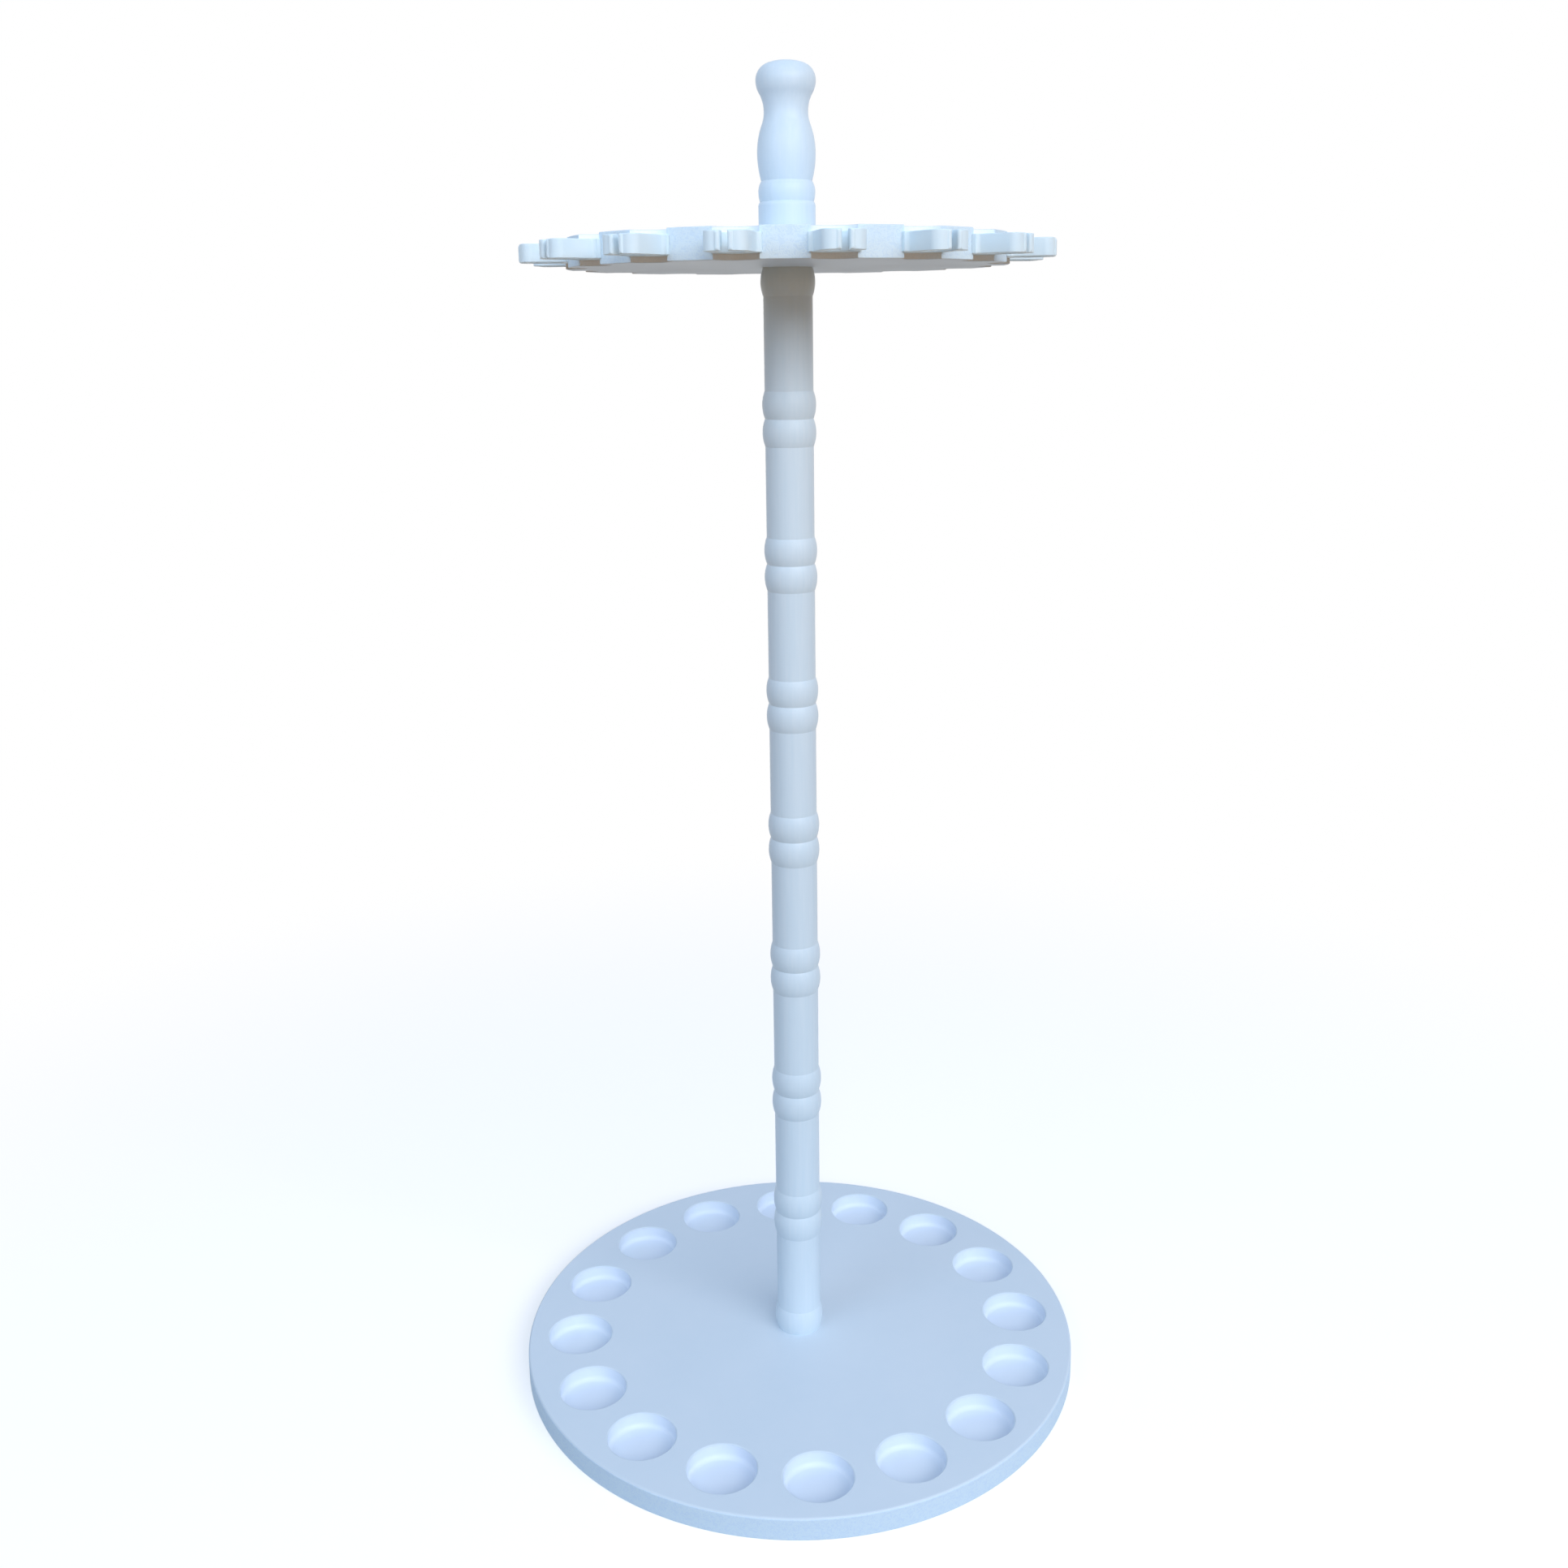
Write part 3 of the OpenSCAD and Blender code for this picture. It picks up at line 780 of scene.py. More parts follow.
def base_mesh():
    """The whole base plate, with material 1 on its rim and material 2 in its pockets."""
    mesh = bmesh.new()
    add_base_outside(mesh)
    pocket = pocket_mesh()
    pocket_data = bpy.data.meshes.new("pocket")
    pocket.to_mesh(pocket_data)
    pocket.free()
    for index in range(PLACE_COUNT):
        known = len(mesh.verts)
        mesh.from_mesh(pocket_data)
        mesh.verts.ensure_lookup_table()
        place = ring_place(index, POCKET_TURN, POCKET_RING)
        bmesh.ops.translate(mesh, vec=place, verts=mesh.verts[known:])
    bpy.data.meshes.remove(pocket_data)
    rims = [
        e for e in mesh.edges
        if e.is_boundary and min(v.co.z for v in e.verts) > BASE_TOP - MERGE
    ]
    bmesh.ops.triangle_fill(mesh, use_beauty=True, use_dissolve=False, edges=rims, normal=UP)
    bmesh.ops.recalc_face_normals(mesh, faces=mesh.faces[:])
    for face in mesh.faces:
        centre = face.calc_center_median()
        away = math.hypot(centre.x, centre.y)
        in_ring = abs(away - POCKET_RING) < POCKET_RADIUS
        if away > BASE_RADIUS - BASE_EDGE / 2 and abs(face.normal.z) < 0.5:
            face.material_index = 1
        elif in_ring and EASED_EDGE < centre.z < BASE_TOP - POCKET_RIM:
            # pocket faces get the paler paint, which is painted light
            face.material_index = 2
    return mesh


finish_piece(
    base_mesh(), "painted_base", [board_face, base_rim, pocket_painted_light], "stand",
    ["base_plate"],
)

# %% [markdown]
# ## The clip disc
# The disc is sawn from a slightly thicker board. Its outline is drawn flat, sixteen times a
# stretch of rim and a round notch, and is then filled, extruded to its thickness and given a
# small bevel. Drawing the outline first keeps the rim in even, narrow faces.

# %% Clip disc
CLIP_TURN = 10.75
DISC_RADIUS = 133.5
NOTCH_RADIUS = 12.7
DISC_BOLT_HOLE = 4.1
DISC_BEVEL = 0.6
BEVEL_STEPS = 3
NOTCH_STEPS = 28
RIM_STEPS = 14
HOLE_SEGMENTS = 48
NEAR_SQUARE = 0.1
WALL_DEPTH = 1

notch_half = 2 * math.degrees(math.asin(NOTCH_RADIUS / DISC_RADIUS / 2))
notch_sweep = 180 - notch_half
rim_sweep = 360 / PLACE_COUNT - 2 * notch_half
print("the rim between two notches turns by", round(rim_sweep, 2), "degrees")


def raise_plan(mesh, height):
    """Makes a filled flat plan a solid of the given height."""
    made = bmesh.ops.extrude_face_region(mesh, geom=mesh.faces[:])
    risen = [g for g in made["geom"] if isinstance(g, bmesh.types.BMVert)]
    bmesh.ops.translate(mesh, vec=(0, 0, height), verts=risen)
    bmesh.ops.recalc_face_normals(mesh, faces=mesh.faces[:])


def soften(mesh, edges, width):
    """Rounds the edges off by width."""
    bmesh.ops.bevel(
        mesh, geom=edges, offset=width, offset_type="OFFSET", segments=BEVEL_STEPS, profile=0.5,
        affect="EDGES", material=-1, clamp_overlap=True,
    )


def disc_mesh():
    """The notched disc, with material 1 on its sawn rim and material 2 in the notches."""
    mesh = bmesh.new()
    foot = Vector((0, 0, disc_low.z))
    v = mesh.verts.new(ring_place(0, CLIP_TURN + notch_half, DISC_RADIUS) + foot)
    for index in range(1, PLACE_COUNT + 1):
        v = arc_to(mesh, v, (0, 0, 0), rim_sweep, RIM_STEPS, UP)
        notch = ring_place(index, CLIP_TURN, DISC_RADIUS)
        v = arc_to(mesh, v, notch, -notch_sweep, NOTCH_STEPS, UP)
    bmesh.ops.remove_doubles(mesh, verts=mesh.verts[:], dist=MERGE)
    bmesh.ops.create_circle(
        mesh, cap_ends=False, radius=DISC_BOLT_HOLE, segments=HOLE_SEGMENTS,
        matrix=Matrix.Translation(foot),
    )
    outline = mesh.edges[:]
    bmesh.ops.triangle_fill(mesh, use_beauty=True, use_dissolve=False, edges=outline, normal=UP)
    raise_plan(mesh, disc_high.z - disc_low.z)
    corners = [
        e for e in mesh.edges
        if len(e.link_faces) == 2 and abs(e.calc_face_angle() - math.pi / 2) < NEAR_SQUARE
        and abs(e.verts[0].co.z - e.verts[1].co.z) < MERGE
    ]
    soften(mesh, corners, DISC_BEVEL)
    for face in mesh.faces:
        centre = face.calc_center_median()
        away = math.hypot(centre.x, centre.y)
        if abs(face.normal.z) < 0.5 and away > DISC_RADIUS - DISC_BEVEL:
            face.material_index = 1
        elif abs(face.normal.z) < 0.5 and away > DISC_RADIUS - NOTCH_RADIUS - WALL_DEPTH:
            # notch walls get the whiter paint, which is painted light
            face.material_index = 2
    return mesh


finish_piece(
    disc_mesh(), "sawn_clip_disc", [board_face, disc_rim, notch_painted_light],
    "clip_wheel", ["clip_disc"],
)

# %% [markdown]
# ## The clips
# Each clip is a moulding that could be cut from a bar: seen from above it has a round foot for
# the notch, two ears against the rim, two arms round a hollow, and a low lip on each side of the
# mouth. Half of that plan is drawn with lines and arcs, from the foot round the outside to the
# back of the hollow.

# %% Half the plan of a clip
CLIP_CLEAR = 0.15
CLIP_RADIUS = 12
HOLLOW_X = 148
HOLLOW_RADIUS = 7.75
HOLLOW_RUN = 6.5
MOUTH_HALF = 2
CORNER_RADIUS = 6
LIP_RADIUS = 1.6
LIP_PROUD = 0.75
EAR_WIDTH = 2.3
EAR_THICKNESS = 1.6
FOOT_STEPS = 14
EAR_STEPS = 6
CORNER_STEPS = 12
LIP_STEPS = 14
HOLLOW_STEPS = 16

FRONT_X = HOLLOW_X + CLIP_RADIUS
TIP_X = FRONT_X + LIP_PROUD
clip_low, clip_high = box_mm("rod_clip_01")
CLIP_MIDDLE = (clip_low.z + clip_high.z) / 2


def draw_half_plan(mesh):
    """Draws the half plan of a clip that points along +X, at its underside."""
    z = clip_low.z
    foot_r = NOTCH_RADIUS - CLIP_CLEAR
    rim_r = DISC_RADIUS + CLIP_CLEAR
    foot_end_x = (rim_r ** 2 - foot_r ** 2 + DISC_RADIUS ** 2) / (2 * DISC_RADIUS)
    foot_turn = math.degrees(math.acos((DISC_RADIUS - foot_end_x) / foot_r))
    ear_x = rim_r + EAR_THICKNESS
    ear_y = CLIP_RADIUS + EAR_WIDTH
    corner_x = FRONT_X - CORNER_RADIUS
    lip_y = MOUTH_HALF + LIP_RADIUS
    lip_turn = math.degrees(math.acos((LIP_RADIUS - LIP_PROUD) / LIP_RADIUS)) + 90
    crease_y = lip_y + math.sqrt(LIP_RADIUS ** 2 - (LIP_RADIUS - LIP_PROUD) ** 2)
    mouth_x = HOLLOW_X + math.sqrt(HOLLOW_RADIUS ** 2 - MOUTH_HALF ** 2)
    mouth_turn = math.degrees(math.asin(MOUTH_HALF / HOLLOW_RADIUS))
    v = mesh.verts.new((DISC_RADIUS - foot_r, 0, z))
    v = arc_to(mesh, v, (DISC_RADIUS, 0, z), -foot_turn, FOOT_STEPS, UP)
    v = lines_to(mesh, v, (math.sqrt(rim_r ** 2 - ear_y ** 2), ear_y, z), (ear_x, ear_y, z))
    v = arc_to(mesh, v, (ear_x + EAR_WIDTH, ear_y, z), 90, EAR_STEPS, UP)
    v = lines_to(mesh, v, (corner_x, CLIP_RADIUS, z))
    v = arc_to(mesh, v, (corner_x, CLIP_RADIUS - CORNER_RADIUS, z), -90, CORNER_STEPS, UP)
    v = lines_to(mesh, v, (FRONT_X, crease_y, z))
    v = arc_to(mesh, v, (TIP_X - LIP_RADIUS, lip_y, z), -lip_turn, LIP_STEPS, UP)
    v = lines_to(mesh, v, (mouth_x, MOUTH_HALF, z))
    v = arc_to(mesh, v, (HOLLOW_X, 0, z), 90 - mouth_turn, HOLLOW_STEPS, UP)
    v = lines_to(mesh, v, (HOLLOW_X - HOLLOW_RUN, HOLLOW_RADIUS, z))
    arc_to(mesh, v, (HOLLOW_X - HOLLOW_RUN, 0, z), 90, HOLLOW_STEPS, UP)


print("a clip reaches", round(TIP_X - DISC_RADIUS, 2), "mm out of the rim")

# %% [markdown]
# The half plan is mirrored, filled and extruded, and its edges are softened while they are still
# level. Then the tips are rounded as seen from the side: a few cuts across the arms give the
# vertices that are drawn towards the middle of the height, and the softened edges follow in one
# smooth run.

# %% One clip
CLIP_BEVEL = 0.45
TIP_RADIUS = 1.5
TIP_CUTS = 8
ON_THE_CUT = 1e-5
CLEAR_CORNER = 1.0


def round_tips(mesh):
    """Draws the top and underside of the tips together, as a quarter round from the side."""
    half = (clip_high.z - clip_low.z) / 2
    for step in range(TIP_CUTS):
        x = TIP_X - TIP_RADIUS + TIP_RADIUS * math.sin(math.pi / 2 * step / TIP_CUTS)
        bmesh.ops.bisect_plane(
            mesh, geom=mesh.verts[:] + mesh.edges[:] + mesh.faces[:], dist=ON_THE_CUT,
            plane_co=(x, 0, 0), plane_no=(1, 0, 0), clear_inner=False, clear_outer=False,
        )
    for vert in mesh.verts:
        out = min(max(vert.co.x - (TIP_X - TIP_RADIUS), 0), TIP_RADIUS)
        drop = TIP_RADIUS - math.sqrt(TIP_RADIUS ** 2 - out ** 2)
        vert.co.z = CLIP_MIDDLE + (vert.co.z - CLIP_MIDDLE) * (1 - drop / half)


def clip_mesh():
    """A clip that points along +X, with softened edges."""
    mesh = bmesh.new()
    draw_half_plan(mesh)
    bmesh.ops.mirror(mesh, geom=mesh.verts[:] + mesh.edges[:], axis="Y", merge_dist=MERGE)
    bmesh.ops.remove_doubles(mesh, verts=mesh.verts[:], dist=MERGE)
    bmesh.ops.contextual_create(mesh, geom=mesh.edges[:])
    raise_plan(mesh, clip_high.z - clip_low.z)
    rims = [
        e for e in mesh.edges
        if len(e.link_faces) == 2 and e.calc_face_angle() > CLEAR_CORNER
        and (e.verts[0].co.z - CLIP_MIDDLE) * (e.verts[1].co.z - CLIP_MIDDLE) > 0
    ]
    soften(mesh, rims, CLIP_BEVEL)
    round_tips(mesh)
    return mesh


clip = clip_mesh()
print("one clip has", len(clip.faces), "faces")

# %% [markdown]
# A screw holds each clip to the disc. Its hole and the seat of its head are cut with Boolean
# modifiers, since the hole crosses a curved wall. The cutters reach a little too far, so that no
# two faces fall together. The result is read back, so that the finished clip carries no modifier
# and no cutter stays in the file.

# %% Screw hole in the clip
SCREW_RADIUS = 1.75
HEAD_RADIUS = 3.5
HEAD_HEIGHT = 2.0
HEAD_PROUD = 0.3
SCREW_CLEAR = 0.05
CUT_OVER = 1
SCREW_SEGMENTS = 32

ROOT_X = HOLLOW_X - HOLLOW_RUN - HOLLOW_RADIUS
SEAT_X = ROOT_X + HEAD_PROUD - HEAD_HEIGHT
FOOT_X = DISC_RADIUS - NOTCH_RADIUS


def drill(start, end, radius, segments):
    """A closed cylinder along +X at the middle of the clips' height."""
    mesh = bmesh.new()
    middle = Matrix.Translation(((start + end) / 2, 0, CLIP_MIDDLE))
    bmesh.ops.create_cone(
        mesh, cap_ends=True, cap_tris=False, segments=segments, radius1=radius, radius2=radius,
        depth=end - start, matrix=middle @ Matrix.Rotation(math.pi / 2, 4, "Y"),
    )
    return mesh


def to_object(mesh, name):
    """An object that holds a mesh."""
    data = bpy.data.meshes.new(name)
    mesh.to_mesh(data)
    mesh.free()
    holder = bpy.data.objects.new(name, data)
    bpy.context.scene.collection.objects.link(holder)
    return holder


def cut_away(mesh, cutters):
    """The mesh less each cutter, as a new mesh."""
    body = to_object(mesh, "cut_body")
    tools = [to_object(cutter, "cutter") for cutter in cutters]
    for tool in tools:
        cut = body.modifiers.new("cut", "BOOLEAN")
        cut.operation = "DIFFERENCE"
        cut.solver = "EXACT"
        cut.object = tool
    view = bpy.context.evaluated_depsgraph_get()
    result = bmesh.new()
    result.from_mesh(body.evaluated_get(view).to_mesh())
    for holder in [body] + tools:
        bpy.data.objects.remove(holder)
    return result


shank_end = SEAT_X + CUT_OVER
shank_hole = drill(FOOT_X - CUT_OVER, shank_end, SCREW_RADIUS + SCREW_CLEAR, SCREW_SEGMENTS)
head_hole = drill(SEAT_X, ROOT_X + HOLLOW_RADIUS, HEAD_RADIUS + SCREW_CLEAR, HOLE_SEGMENTS)
clip = cut_away(clip, [shank_hole, head_hole])
print("the drilled clip has", len(clip.faces), "faces")

# %% [markdown]
# The finished clip is now copied sixteen times round the disc. Each copy is turned in its mesh
# and not as an object, so every clip's object stays at the origin like a CAD node's.

# %% Sixteen clips
def clip_turn(index):
    """Turns something that points along +X to the place of clip number index."""
    degrees = CLIP_TURN + index * 360 / PLACE_COUNT - 90
    return Matrix.Rotation(math.radians(degrees), 3, "Z")


clip_data = bpy.data.meshes.new("clip")
clip.to_mesh(clip_data)
clip.free()
for index in range(PLACE_COUNT):
    copy = bmesh.new()
    copy.from_mesh(clip_data)
    bmesh.ops.rotate(copy, matrix=clip_turn(index), verts=copy.verts[:])
    node = f"rod_clip_{index + 1:02d}"
    finish_piece(copy, f"moulded_{node}", [clip_plastic], "clip_wheel", [node])
bpy.data.meshes.remove(clip_data)

# %% [markdown]
# ## The screws in the clips
# A pan-head wood screw holds each clip, and its head can be seen through the clip's mouth. It is
# turned in one outline, from the point along the shank to the domed head, and a cross recess is
# cut into the head with two crossed blades that narrow downwards. The thread bites into the wood
# and stays out of sight, so the shank is plain. The screw is drawn upright and then laid down.

# %% Clip screws
SCREW_BITE = 18
POINT_LENGTH = 5
POINT_RADIUS = 0.45
HEAD_SIDE = 0.7
DOME_STEPS = 6
BLADE_LENGTH = 3.8
BLADE_WIDTH = 0.9
BLADE_DEPTH = 1.3
BLADE_TAPER = 0.55

SCREW_END = FOOT_X - SCREW_BITE
HEAD_TOP = SEAT_X + HEAD_HEIGHT


def blade_mesh(degrees):
    """One blade of the cross, narrower at its foot, turned by degrees."""
    mesh = bmesh.new()
    bmesh.ops.create_cube(mesh, size=1)
    size = (BLADE_LENGTH, BLADE_WIDTH, 2 * BLADE_DEPTH)
    bmesh.ops.scale(mesh, vec=size, verts=mesh.verts[:])
    foot = [v for v in mesh.verts if v.co.z < 0]
    bmesh.ops.scale(mesh, vec=(BLADE_TAPER, BLADE_TAPER, 1), verts=foot)
    turn = Matrix.Rotation(math.radians(degrees), 3, "Z")
    bmesh.ops.rotate(mesh, matrix=turn, verts=mesh.verts[:])
    bmesh.ops.translate(mesh, vec=(0, 0, HEAD_TOP), verts=mesh.verts[:])
    return mesh


def screw_mesh():
    """One screw along +X at the middle of the clips' height."""
    mesh = bmesh.new()
    rise = HEAD_HEIGHT - HEAD_SIDE
    dome = (HEAD_RADIUS ** 2 + rise ** 2) / (2 * rise)
    dome_turn = math.degrees(math.asin(HEAD_RADIUS / dome))
    v = mesh.verts.new((0, 0, SCREW_END))
    v = lines_to(
        mesh, v, (POINT_RADIUS, 0, SCREW_END), (SCREW_RADIUS, 0, SCREW_END + POINT_LENGTH),
        (SCREW_RADIUS, 0, SEAT_X), (HEAD_RADIUS, 0, SEAT_X), (HEAD_RADIUS, 0, SEAT_X + HEAD_SIDE),
    )
    arc_to(mesh, v, (0, 0, HEAD_TOP - dome), dome_turn, DOME_STEPS)
    turn_outline(mesh, SCREW_SEGMENTS)
    mesh = cut_away(mesh, [blade_mesh(0), blade_mesh(90)])
    bmesh.ops.rotate(mesh, matrix=Matrix.Rotation(math.pi / 2, 3, "Y"), verts=mesh.verts[:])
    bmesh.ops.translate(mesh, vec=(0, 0, CLIP_MIDDLE), verts=mesh.verts[:])
    return mesh


screw = screw_mesh()
screw_data = bpy.data.meshes.new("screw")
screw.to_mesh(screw_data)
screw.free()
screws = bmesh.new()
for index in range(PLACE_COUNT):
    known = len(screws.verts)
    screws.from_mesh(screw_data)
    screws.verts.ensure_lookup_table()
    bmesh.ops.rotate(screws, matrix=clip_turn(index), verts=screws.verts[known:])
bpy.data.meshes.remove(screw_data)
finish_piece(screws, "cross_head_screws", [zinc], "clip_wheel", ["clip_screws"])

# %% [markdown]
# ## The base bolt
# Under the base a hexagon bolt and its washer sit in a round recess, so that the rack stands flat.
# A forged head has a chamfer that is turned and not filed, which leaves an arc on each of its six
# flats. It is made here in the same way: a hexagon is extruded, and a turned ring with a slanting
# inside is cut from it.

# %% Base bolt
FLOOR_CLEAR = 0.1
HEAD_FLATS = 13
HEAD_THICKNESS = 5.3
CHAMFER_START = 6.1
CHAMFER_SLOPE = math.tan(math.radians(30))
BOLT_RADIUS = 4
BOLT_SEGMENTS = 32


def chamfer_ring():
    """A ring with a slanting inside, which takes off the head's lower corners."""
    ring = bmesh.new()
    low = FLOOR_CLEAR - CUT_OVER
    slant_end = FLOOR_CLEAR + (HEAD_FLATS - CHAMFER_START) * CHAMFER_SLOPE
    start = ring.verts.new((CHAMFER_START - CUT_OVER / CHAMFER_SLOPE, 0, low))
    end = lines_to(ring, start, (HEAD_FLATS, 0, low), (HEAD_FLATS, 0, slant_end))
    ring.edges.new((end, start))
    turn_outline(ring, TURNED_SEGMENTS)
    return ring


def head_mesh():
    """The bolt's head, with its chamfer towards the floor."""
    mesh = bmesh.new()
    bmesh.ops.create_circle(
        mesh, cap_ends=True, radius=HEAD_FLATS / math.sqrt(3), segments=6,
        matrix=Matrix.Translation((0, 0, FLOOR_CLEAR)),
    )
    raise_plan(mesh, HEAD_THICKNESS)
    return cut_away(mesh, [chamfer_ring()])


bolt = head_mesh()
shank_low = FLOOR_CLEAR + HEAD_THICKNESS
shank_high = box_mm("base_bolt")[1].z
bmesh.ops.create_cone(
    bolt, cap_ends=True, cap_tris=False, segments=BOLT_SEGMENTS, radius1=BOLT_RADIUS,
    radius2=BOLT_RADIUS, depth=shank_high - shank_low,
    matrix=Matrix.Translation((0, 0, (shank_low + shank_high) / 2)),
)
finish_piece(bolt, "hexagon_bolt", [zinc], "stand", ["base_bolt"])

# %% [markdown]
# The washer lies on the head and spreads its pull over the wood. It is punched from sheet steel,
# and the punch draws its outer edge round on one side, so its closed outline has one small arc.

# %% Washer
WASHER_RADIUS = 10
WASHER_THICKNESS = 1.6
WASHER_BEVEL = 0.25
WASHER_SEGMENTS = 64


def washer_mesh():
    """The flat washer that lies on the head."""
    mesh = bmesh.new()
    low, high = shank_low, shank_low + WASHER_THICKNESS
    flat = WASHER_RADIUS - WASHER_BEVEL
    start = mesh.verts.new((BASE_BOLT_HOLE, 0, low))
    v = lines_to(mesh, start, (flat, 0, low))
    v = arc_to(mesh, v, (flat, 0, low + WASHER_BEVEL), 90, BEVEL_STEPS)
    v = lines_to(mesh, v, (WASHER_RADIUS, 0, high), (BASE_BOLT_HOLE, 0, high))
    mesh.edges.new((v, start))
    turn_outline(mesh, WASHER_SEGMENTS)
    return mesh


finish_piece(washer_mesh(), "flat_washer", [zinc], "stand", ["base_washer"])

# %% [markdown]
# ## The rest of the frame
# The hanger bolts and the insert nuts are hidden inside the wood. Their CAD shapes are right, so
# they stay and only get their metal.

# %% Metal on the CAD nodes that stay
METAL_OF = {
    "hanger_bolts": zinc,
    "top_hanger_bolt": zinc,
    "insert_nuts": brass,
    "handle_insert": brass,
}
for node, material in METAL_OF.items():
    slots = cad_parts[node].data.materials
    slots.clear()
    slots.append(material)
print("gave", len(METAL_OF), "nodes their metal")

# %% [markdown]
# ## The floor
# The rack stands on a plain floor. To the camera the floor is white and fades into the white
# background a step away, so no horizon shows, and a faint glow of its own keeps the shadow pale.
# What the floor sends back up to the rack is another matter: a cool grey from close by, and a
# warm brown from further out, which the shaded wood under the clip disc sees. The Light Path node
# keeps the two apart, since it knows the rays that show the background: those from the camera, off
# a mirror or through glass.

# %% Floor
FLOOR_SIZE = 30
FLOOR_COLOUR = "#fff8f0"
FLOOR_GLOW = 0.34
FADE_START = 0.35
FADE_END = 1.1
COOL_END = 0.55
WARM_START = 0.8
COOL_BOUNCE = "#98acb1"
WARM_BOUNCE = "#b07c36"
WHITE = linear("#ffffff")


def ray_is_seen(tree):
    """1 for a ray that shows the background: from the camera, off a mirror or through glass."""
    path = add_node(tree, "ShaderNodeLightPath", {})
    seen = add_node(
        tree, "ShaderNodeMath",
        {0: path.outputs["Is Camera Ray"], 1: path.outputs["Is Glossy Ray"]}, operation="MAXIMUM",
    )
    seen = add_node(
        tree, "ShaderNodeMath",
        {0: seen.outputs["Value"], 1: path.outputs["Is Transmission Ray"]}, operation="MAXIMUM",
    )
    return seen.outputs["Value"]


floor_material = bpy.data.materials.new("studio_floor")
floor_material.use_nodes = True
tree = floor_material.node_tree
tree.nodes.clear()
matt = add_node(tree, "ShaderNodeBsdfDiffuse", {"Color": linear(FLOOR_COLOUR)})
glow = add_node(tree, "ShaderNodeEmission", {"Color": WHITE, "Strength": FLOOR_GLOW})
near = add_node(
    tree, "ShaderNodeAddShader", {0: matt.outputs["BSDF"], 1: glow.outputs["Emission"]}
)
far = add_node(tree, "ShaderNodeEmission", {"Color": WHITE, "Strength": 1})
place = add_node(tree, "ShaderNodeTexCoord", {})
away = add_node(tree, "ShaderNodeVectorMath", {0: place.outputs["Object"]}, operation="LENGTH")
tone = add_node(
    tree, "ShaderNodeValToRGB", {"Fac": away.outputs["Value"]},
    [(COOL_END, COOL_BOUNCE), (WARM_START, WARM_BOUNCE)],
)
bounce = add_node(tree, "ShaderNodeBsdfDiffuse", {"Color": tone.outputs["Color"]})
fade = add_node(
    tree, "ShaderNodeMapRange",
    {"Value": away.outputs["Value"], "From Min": FADE_START, "From Max": FADE_END},
    interpolation_type="SMOOTHSTEP",
)
pale = add_node(
    tree, "ShaderNodeMixShader",
    {"Fac": fade.outputs["Result"], 1: near.outputs["Shader"], 2: far.outputs["Emission"]},
)
surface = add_node(
    tree, "ShaderNodeMixShader",
    {"Fac": ray_is_seen(tree), 1: bounce.outputs["BSDF"], 2: pale.outputs["Shader"]},
)
add_node(tree, "ShaderNodeOutputMaterial", {"Surface": surface.outputs["Shader"]})

floor_mesh = bmesh.new()
bmesh.ops.create_grid(floor_mesh, x_segments=1, y_segments=1, size=FLOOR_SIZE / 2)
floor = to_object(floor_mesh, "floor")
floor.data.materials.append(floor_material)
print("floor", FLOOR_SIZE, "m across")

# %% [markdown]
# ## The sky
# The world is a soft overcast sky that turns warm low over the horizon. It lights the rack from
# all round, so that no side falls into deep shade. The direction picks the colour, and the rays
# that show the background find plain white.

# %% World
SKY_STRENGTH = 0.58
SKY_COLOUR = "#cce1ff"
SKY_FOOT = 0.12
HORIZON_COLOUR = "#e0ac6c"
HORIZON_TOP = 0.0

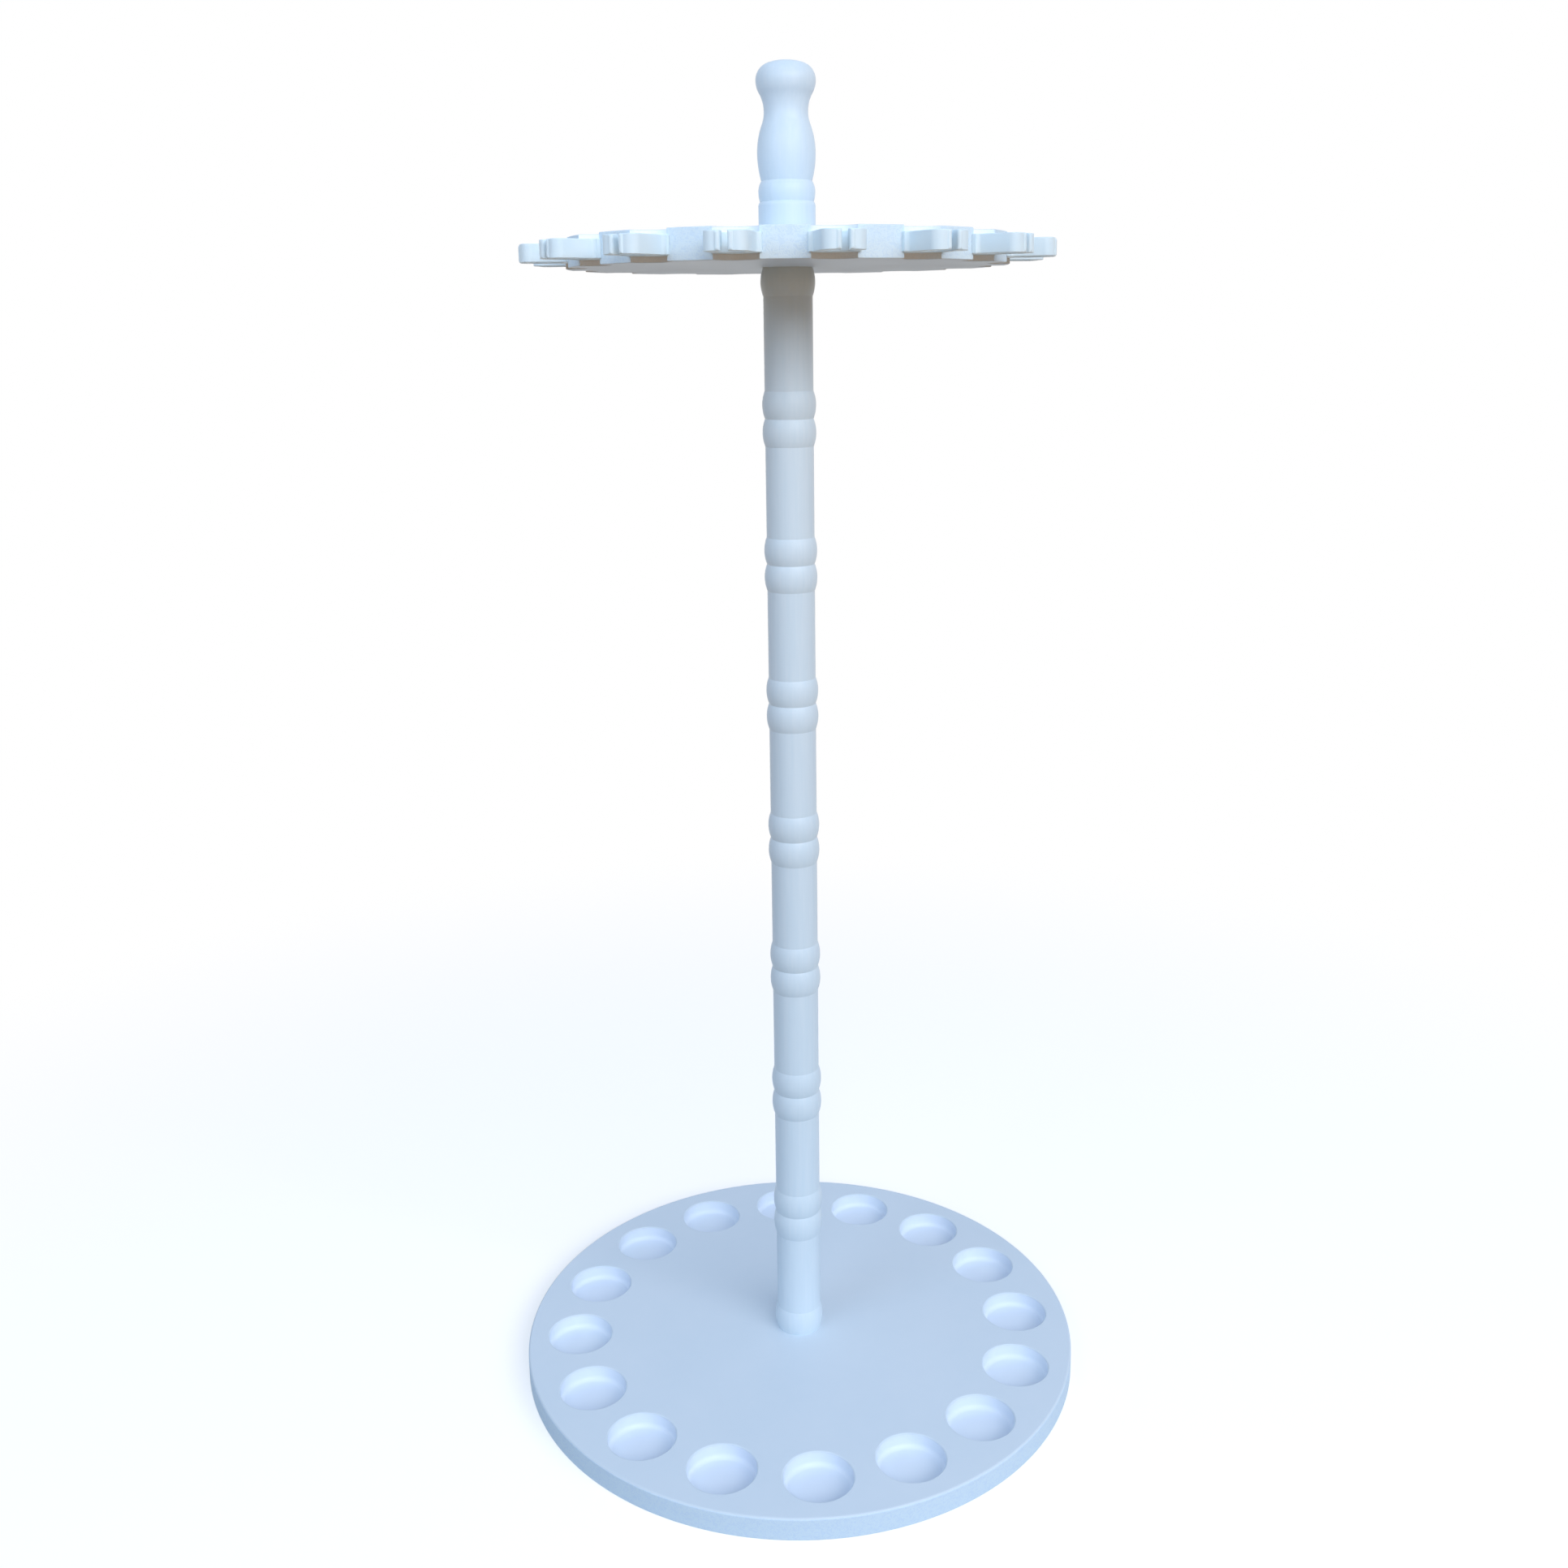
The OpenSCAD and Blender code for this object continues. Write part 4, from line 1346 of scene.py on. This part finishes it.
world = bpy.data.worlds.new("soft_sky")
bpy.context.scene.world = world
world.use_nodes = True
tree = world.node_tree
tree.nodes.clear()
direction = add_node(tree, "ShaderNodeTexCoord", {})
height = add_node(tree, "ShaderNodeSeparateXYZ", {"Vector": direction.outputs["Generated"]})
tone = add_node(
    tree, "ShaderNodeValToRGB", {"Fac": height.outputs["Z"]},
    [(HORIZON_TOP, HORIZON_COLOUR), (SKY_FOOT, SKY_COLOUR)],
)
sky = add_node(
    tree, "ShaderNodeBackground", {"Color": tone.outputs["Color"], "Strength": SKY_STRENGTH}
)
backdrop = add_node(tree, "ShaderNodeBackground", {"Color": WHITE, "Strength": 1})
mixed = add_node(
    tree, "ShaderNodeMixShader",
    {"Fac": ray_is_seen(tree), 1: sky.outputs["Background"], 2: backdrop.outputs["Background"]},
)
add_node(tree, "ShaderNodeOutputWorld", {"Surface": mixed.outputs["Shader"]})
print("sky of strength", SKY_STRENGTH)

# %% [markdown]
# ## Two lamps
# One large lamp in front on the right gives the shapes a light side and a shaded side, with soft
# edges between them. A small cool one on the left, near the handle, opens the shade at the top.

# %% Lamps
KEY_PLACE = Vector((1.8, -3.2, 2.4))
KEY_SIZE = (4.8, 1.8)
KEY_COLOUR = "#eef3fa"
KEY_POWER = 124
FILL_PLACE = Vector((-0.62, -0.58, 1.1))
FILL_SIZE = (0.5, 0.5)
FILL_COLOUR = "#c8e4ff"
FILL_POWER = 2.1


def add_lamp(name, place, target, size, colour, power):
    """A rectangular lamp of size (across, high), at place, that looks at target."""
    data = bpy.data.lights.new(name, "AREA")
    data.shape = "RECTANGLE"
    data.size, data.size_y = size
    data.color = linear(colour)[:3]
    data.energy = power
    lamp = bpy.data.objects.new(name, data)
    bpy.context.scene.collection.objects.link(lamp)
    aim = target - place
    turn = aim.to_track_quat("-Z", "Y").to_matrix().to_4x4()
    lamp.matrix_world = Matrix.Translation(place) @ turn
    print(name, round(aim.length, 2), "m away")


rack_middle = Vector((0, 0, cad_high.z / 2))
handle_middle = Vector((0, 0, (handle_low.z + handle_high.z) / 2 * MM))
add_lamp("key_lamp", KEY_PLACE, rack_middle, KEY_SIZE, KEY_COLOUR, KEY_POWER)
add_lamp("fill_lamp", FILL_PLACE, handle_middle, FILL_SIZE, FILL_COLOUR, FILL_POWER)
